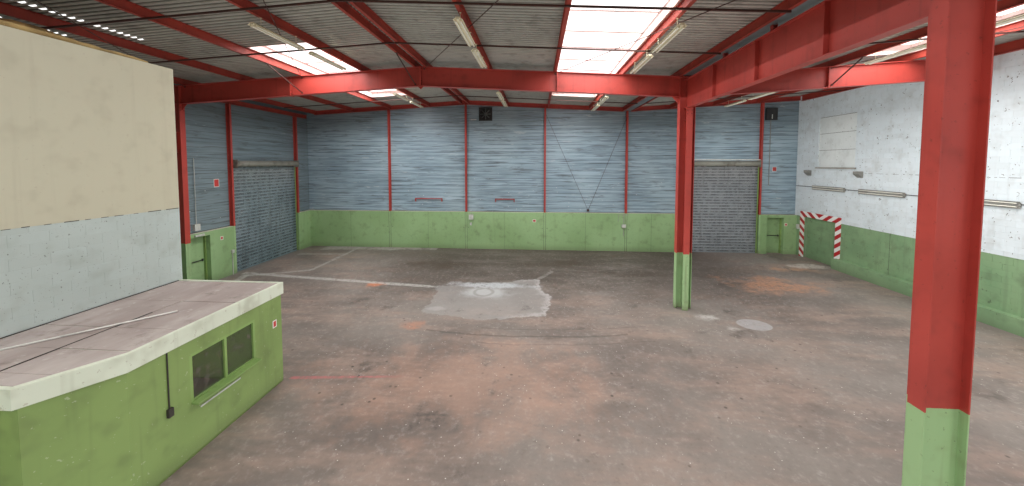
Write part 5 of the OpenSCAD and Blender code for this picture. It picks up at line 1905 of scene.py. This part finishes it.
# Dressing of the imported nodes


class Dressing:
    """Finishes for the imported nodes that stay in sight."""

    NODES = {
        "floor_slab": "floor", "left_columns": "column_red", "valley_columns": "column_red",
        "main_rafters": "red_steel", "bay_rafters": "red_steel", "gable_rafters": "red_steel",
        "wall_posts": "post_red", "portal_girders": "red_steel", "purlins": "red_purlin",
        "eaves_beams": "red_purlin", "roof_rods": "rod_dark", "rooflight_kerbs": "kerb_pale",
        "ridge_cap": "flashing", "gutters": "flashing", "left_dado": "green_wall", "north_dado": "green_wall",
        "south_dado": "green_wall", "right_kerb": "green_block", "shutter_guides": "green_metal",
        "shutter_rolls": "roll_metal", "door_frames": "green_metal", "left_door": "green_wall",
        "north_door": "green_wall", "inner_wall": "cream_panel", "booth_walls": "booth_green",
        "booth_window": "green_metal", "booth_glass": "pane", "booth_door": "booth_green",
        "fan_housings": "fan_dark", "fan_rotor": "fan_blade", "stripe_frames": "stripes"}

    def build(self) -> None:
        """Puts each finish on its node."""
        for name, dressed in self.NODES.items():
            node = frame["nodes"][name]
            node.data.materials.clear()
            node.data.materials.append(finish(dressed))


# Light, ground and camera


@dataclass
class Studio:
    """Pale ground, soft lamps and the camera."""

    eye: Point = (-0.455, -4.794, 5.374)
    turn: float = 0.072
    dip: float = 0.049
    lens: float = 12.32
    shift: float = -0.0609
    daylight: float = 520.0
    lamps: tuple[tuple, ...] = (
        ("soft_down", (0.0, 0.0, 7.7), (26.0, 30.0), 1820.0),
        ("soft_up", (0.0, 2.0, 0.23), (22.0, 22.0), 900.0, (math.pi, 0.0, 0.0)),
        ("soft_east", (8.4, 5.0, 5.4), (3.6, 20.0), 300.0, (0.0, -math.pi / 2, 0.0)),
        ("booth_inside", (-7.8, 1.0, 2.2), (1.8, 2.6), 32.0))
    sky: float = 0.75
    sun: float = 1.6
    sun_angle: float = 0.6
    sun_turn: Point = (0.75, 0.35, 0.6)
    ground_half: float = 150.0
    apart: Collection | None = None

    def lamp(self, name: str, where: Point, size: Flat, power: float, tilt: Point = (0.0, 0.0, 0.0)) -> None:
        """Adds a soft lamp that isn't seen itself and faces down unless it is tilted.

        Args:
            name: the lamp's name.
            where: its middle.
            size: its lengths along X and Y.
            power: watts.
            tilt: its turns round X, Y and Z.
        """
        data = bpy.data.lights.new(name, "AREA")
        data.shape, data.size, data.size_y, data.energy = "RECTANGLE", *size, power
        made = shown(name, data)
        made.location, made.rotation_euler = where, tilt
        made.visible_camera = made.visible_glossy = False
        made.light_linking.receiver_collection = self.apart

    def build(self) -> None:
        """Builds ground, lamps, world and camera."""
        self.apart = bpy.data.collections.new("not_lit_from_inside")
        self.apart.objects.link(self.ground())
        self.apart.collection_objects[0].light_linking.link_state = "EXCLUDE"
        for i, (x0, x1, y0, y1) in enumerate(LIGHTS):
            x, y = (x0 + x1) / 2, (y0 + y1) / 2
            size = (x1 - x0 - 0.3, y1 - y0 - 0.3)
            self.lamp(f"daylight_{i}", (x, y, PLAN.roof(x) + 0.15), size, self.daylight)
        for each in self.lamps:
            self.lamp(*each)
        sun = bpy.data.lights.new("day", "SUN")
        sun.energy, sun.angle = self.sun, self.sun_angle
        shown("day", sun).rotation_euler = self.sun_turn
        self.world()
        self.camera()
        bpy.context.scene.view_settings.view_transform = "Standard"

    def ground(self) -> Object:
        """Pale ground round the hall."""
        half = self.ground_half
        made = shown("ground", Shape().box((-half, -half, -0.05), (half, half, -0.001)).mesh("ground"))
        made.data.materials.append(Graph("pale_ground").surface((231, 231, 231), 0.9))
        return made

    def world(self) -> None:
        """White surroundings for the eye, and an even sky for the light."""
        world = bpy.data.worlds.new("surroundings")
        bpy.context.scene.world = world
        world.use_nodes = True
        g = Nodes(world.node_tree)
        path = g.node("ShaderNodeLightPath").outputs
        seen, mirrored = Val(g, path["Is Camera Ray"]), Val(g, path["Is Glossy Ray"])
        shown_white = g.most(g.most(seen, mirrored), Val(g, path["Is Transmission Ray"]))
        power = g.node("ShaderNodeMapRange", None, {0: shown_white, 3: self.sky, 4: 1.0})
        back = g.node("ShaderNodeBackground", None, {"Strength": Val(g, power.outputs[0])})
        g.node("ShaderNodeOutputWorld", None, {0: Val(g, back.outputs[0])})

    def camera(self) -> None:
        """Wide camera inside the hall."""
        data = bpy.data.cameras.new("camera")
        data.type, data.sensor_width, data.lens = "PERSP", 36.0, self.lens
        data.shift_y, data.clip_start, data.clip_end = self.shift, 0.05, 400.0
        made = shown("camera", data)
        made.location = self.eye
        made.rotation_euler = (math.pi / 2 - self.dip, 0.0, self.turn)
        bpy.context.scene.camera = made


# Walls and the order of building


def claddings() -> list[Cladding]:
    """Lists the three metal walls, each in stretches of one top line: start, end, foot and highest top.

    Returns:
        The walls, not yet built.
    """
    fan_x, half, high = PLAN.fan[0], 0.36, 99.0
    west, east, foot, over = PLAN.clad_out, PLAN.wall, PLAN.dado, PLAN.shutter_top
    north = [(west, PLAN.ridge, foot, high), (PLAN.ridge, fan_x - half, foot, high),
             (fan_x - half, fan_x + half, foot, PLAN.fan[1] - half),
             (fan_x - half, fan_x + half, PLAN.fan[1] + half, high),
             (fan_x + half, PLAN.valley, foot, high), (PLAN.valley, PLAN.shut_c[0], foot, high),
             (*PLAN.shut_c, over, high), (PLAN.shut_c[1], east, foot, high)]
    south = [(west, PLAN.ridge, foot, high), (PLAN.ridge, PLAN.valley, foot, high),
             (PLAN.valley, east, foot, high)]
    left = [(-PLAN.end, PLAN.shut_a[0], foot, high), (*PLAN.shut_a, over, high),
            (PLAN.shut_a[1], PLAN.shut_b[0], foot, high), (*PLAN.shut_b, over, high),
            (PLAN.shut_b[1], PLAN.end, foot, high)]
    return [Cladding("north_wall", "north_cladding", Axis.X, PLAN.end, PLAN.out, north),
            Cladding("south_wall", "south_cladding", Axis.X, -PLAN.end, -PLAN.out, south),
            Cladding("left_wall", "left_cladding", Axis.Y, PLAN.clad, PLAN.clad_out, left)]


def block_walls() -> list[Blockwork]:
    """Lists the faces of the block wall and of the inner wall's lower part.

    Returns:
        The faces, not yet built.
    """
    e, foot, dado, top = PLAN.end, PLAN.floor, PLAN.dado, PLAN.roof(PLAN.right) - 0.004
    gate, porch, window, (sill, head) = PLAN.gate, PLAN.porch, PLAN.window, PLAN.window_z
    mid, back, inner = (PLAN.right + PLAN.wall) / 2, PLAN.wall - 0.04, PLAN.inner
    over_gate = (*gate, PLAN.gate_top, top)
    upper = [(-e, gate[0], dado, top), over_gate, (gate[1], window[0], dado, top),
             (window[1], e, dado, top), (*window, dado, sill), (*window, head, top)]
    outer = [(-e, gate[0], dado, top), over_gate, (gate[1], e, dado, top)]
    lower = [(-e, gate[0], foot, dado), (gate[1], porch[0], foot, dado), (porch[1], e, foot, dado)]
    white, green, filled = ("right_wall",), ("right_wall_base",), [(*porch, foot, dado)]
    painted, bare = "block_white", "outer_block"
    return [
        Blockwork("block_wall_face", PLAN.right, mid, upper, painted, "block_white", white),
        Blockwork("block_window_fill", PLAN.right + 0.05, mid, [(*window, sill, head)], "white_fill",
                  "block_white"),
        Blockwork("block_dado_face", PLAN.right, mid, lower, "green_block", "green_block", green),
        Blockwork("porch_fill", PLAN.right + 0.12, back, filled, "green_block", "green_block", green),
        Blockwork("porch_outside", PLAN.wall, back, filled, bare, "green_block", green),
        Blockwork("block_wall_outside", PLAN.wall, mid, outer, bare, "block_white", white),
        Blockwork("block_dado_outside", PLAN.wall, mid, lower, bare, "green_block", green),
        Blockwork("inner_wall_blocks", inner, inner - 0.1, [(-e, PLAN.inner_end, foot, PLAN.inner_joint)],
                  "base_panel", "base_panel", ("inner_wall_base",), joint=0.003, edge=0.0015, set_in=0.004),
    ]


def backs() -> None:
    """Plain backs and ends of the walls that are faced with blocks, corbels and window sill."""
    x, e, foot, top = PLAN.inner, PLAN.inner_end, PLAN.floor, PLAN.inner_joint
    shape = Shape().box((x - 0.2, -PLAN.end, foot), (x - 0.1, e, top))
    shape.box((PLAN.clad, e - 0.2, foot), (x - 0.2005, e, top))
    piece("inner_wall_back", shape, "base_panel", "base_panel", stands_for=("inner_wall_base",))
    stones, x, z, half = Shape(), PLAN.right, PLAN.corbel_z, 0.15
    profile = [(x, z - half), (x, z + half), (x - 0.2, z + half), (x - 0.2, z + 0.02)]
    for y in PLAN.corbels:
        stones.prism(profile, Axis.Y, y - half, y + half)
    piece("corbel_stones", stones, "conduit", "block_white", stands_for=("right_wall",), bevel=0.008)
    (y0, y1), high = PLAN.window, PLAN.window_z[0]
    sill = Shape().box((x - 0.06, y0 - 0.08, high - 0.07), (x, y1 + 0.08, high))
    piece("blocked_window_sill", sill, "outer_block", "block_white", stands_for=("right_wall",), bevel=0.006)


def main() -> None:
    """Builds the hall's pieces in order."""
    logging.basicConfig(level=logging.INFO, format="%(name)s %(message)s")
    Studio().build()
    Dressing().build()
    Roof().build()
    Bolts().build()
    for wall in claddings() + block_walls():
        wall.build()
    backs()
    for name, along, face, span in (("shutter_a", Axis.Y, PLAN.clad, PLAN.shut_a),
                                    ("shutter_b", Axis.Y, PLAN.clad, PLAN.shut_b),
                                    ("shutter_c", Axis.X, PLAN.end, PLAN.shut_c)):
        Shutter(name, name, along, face, span).build()
    Lamps().build()
    Booth().build()
    Fittings().build()
    Doors().build()
    Outside().build()


if __name__ == "__main__":
    main()
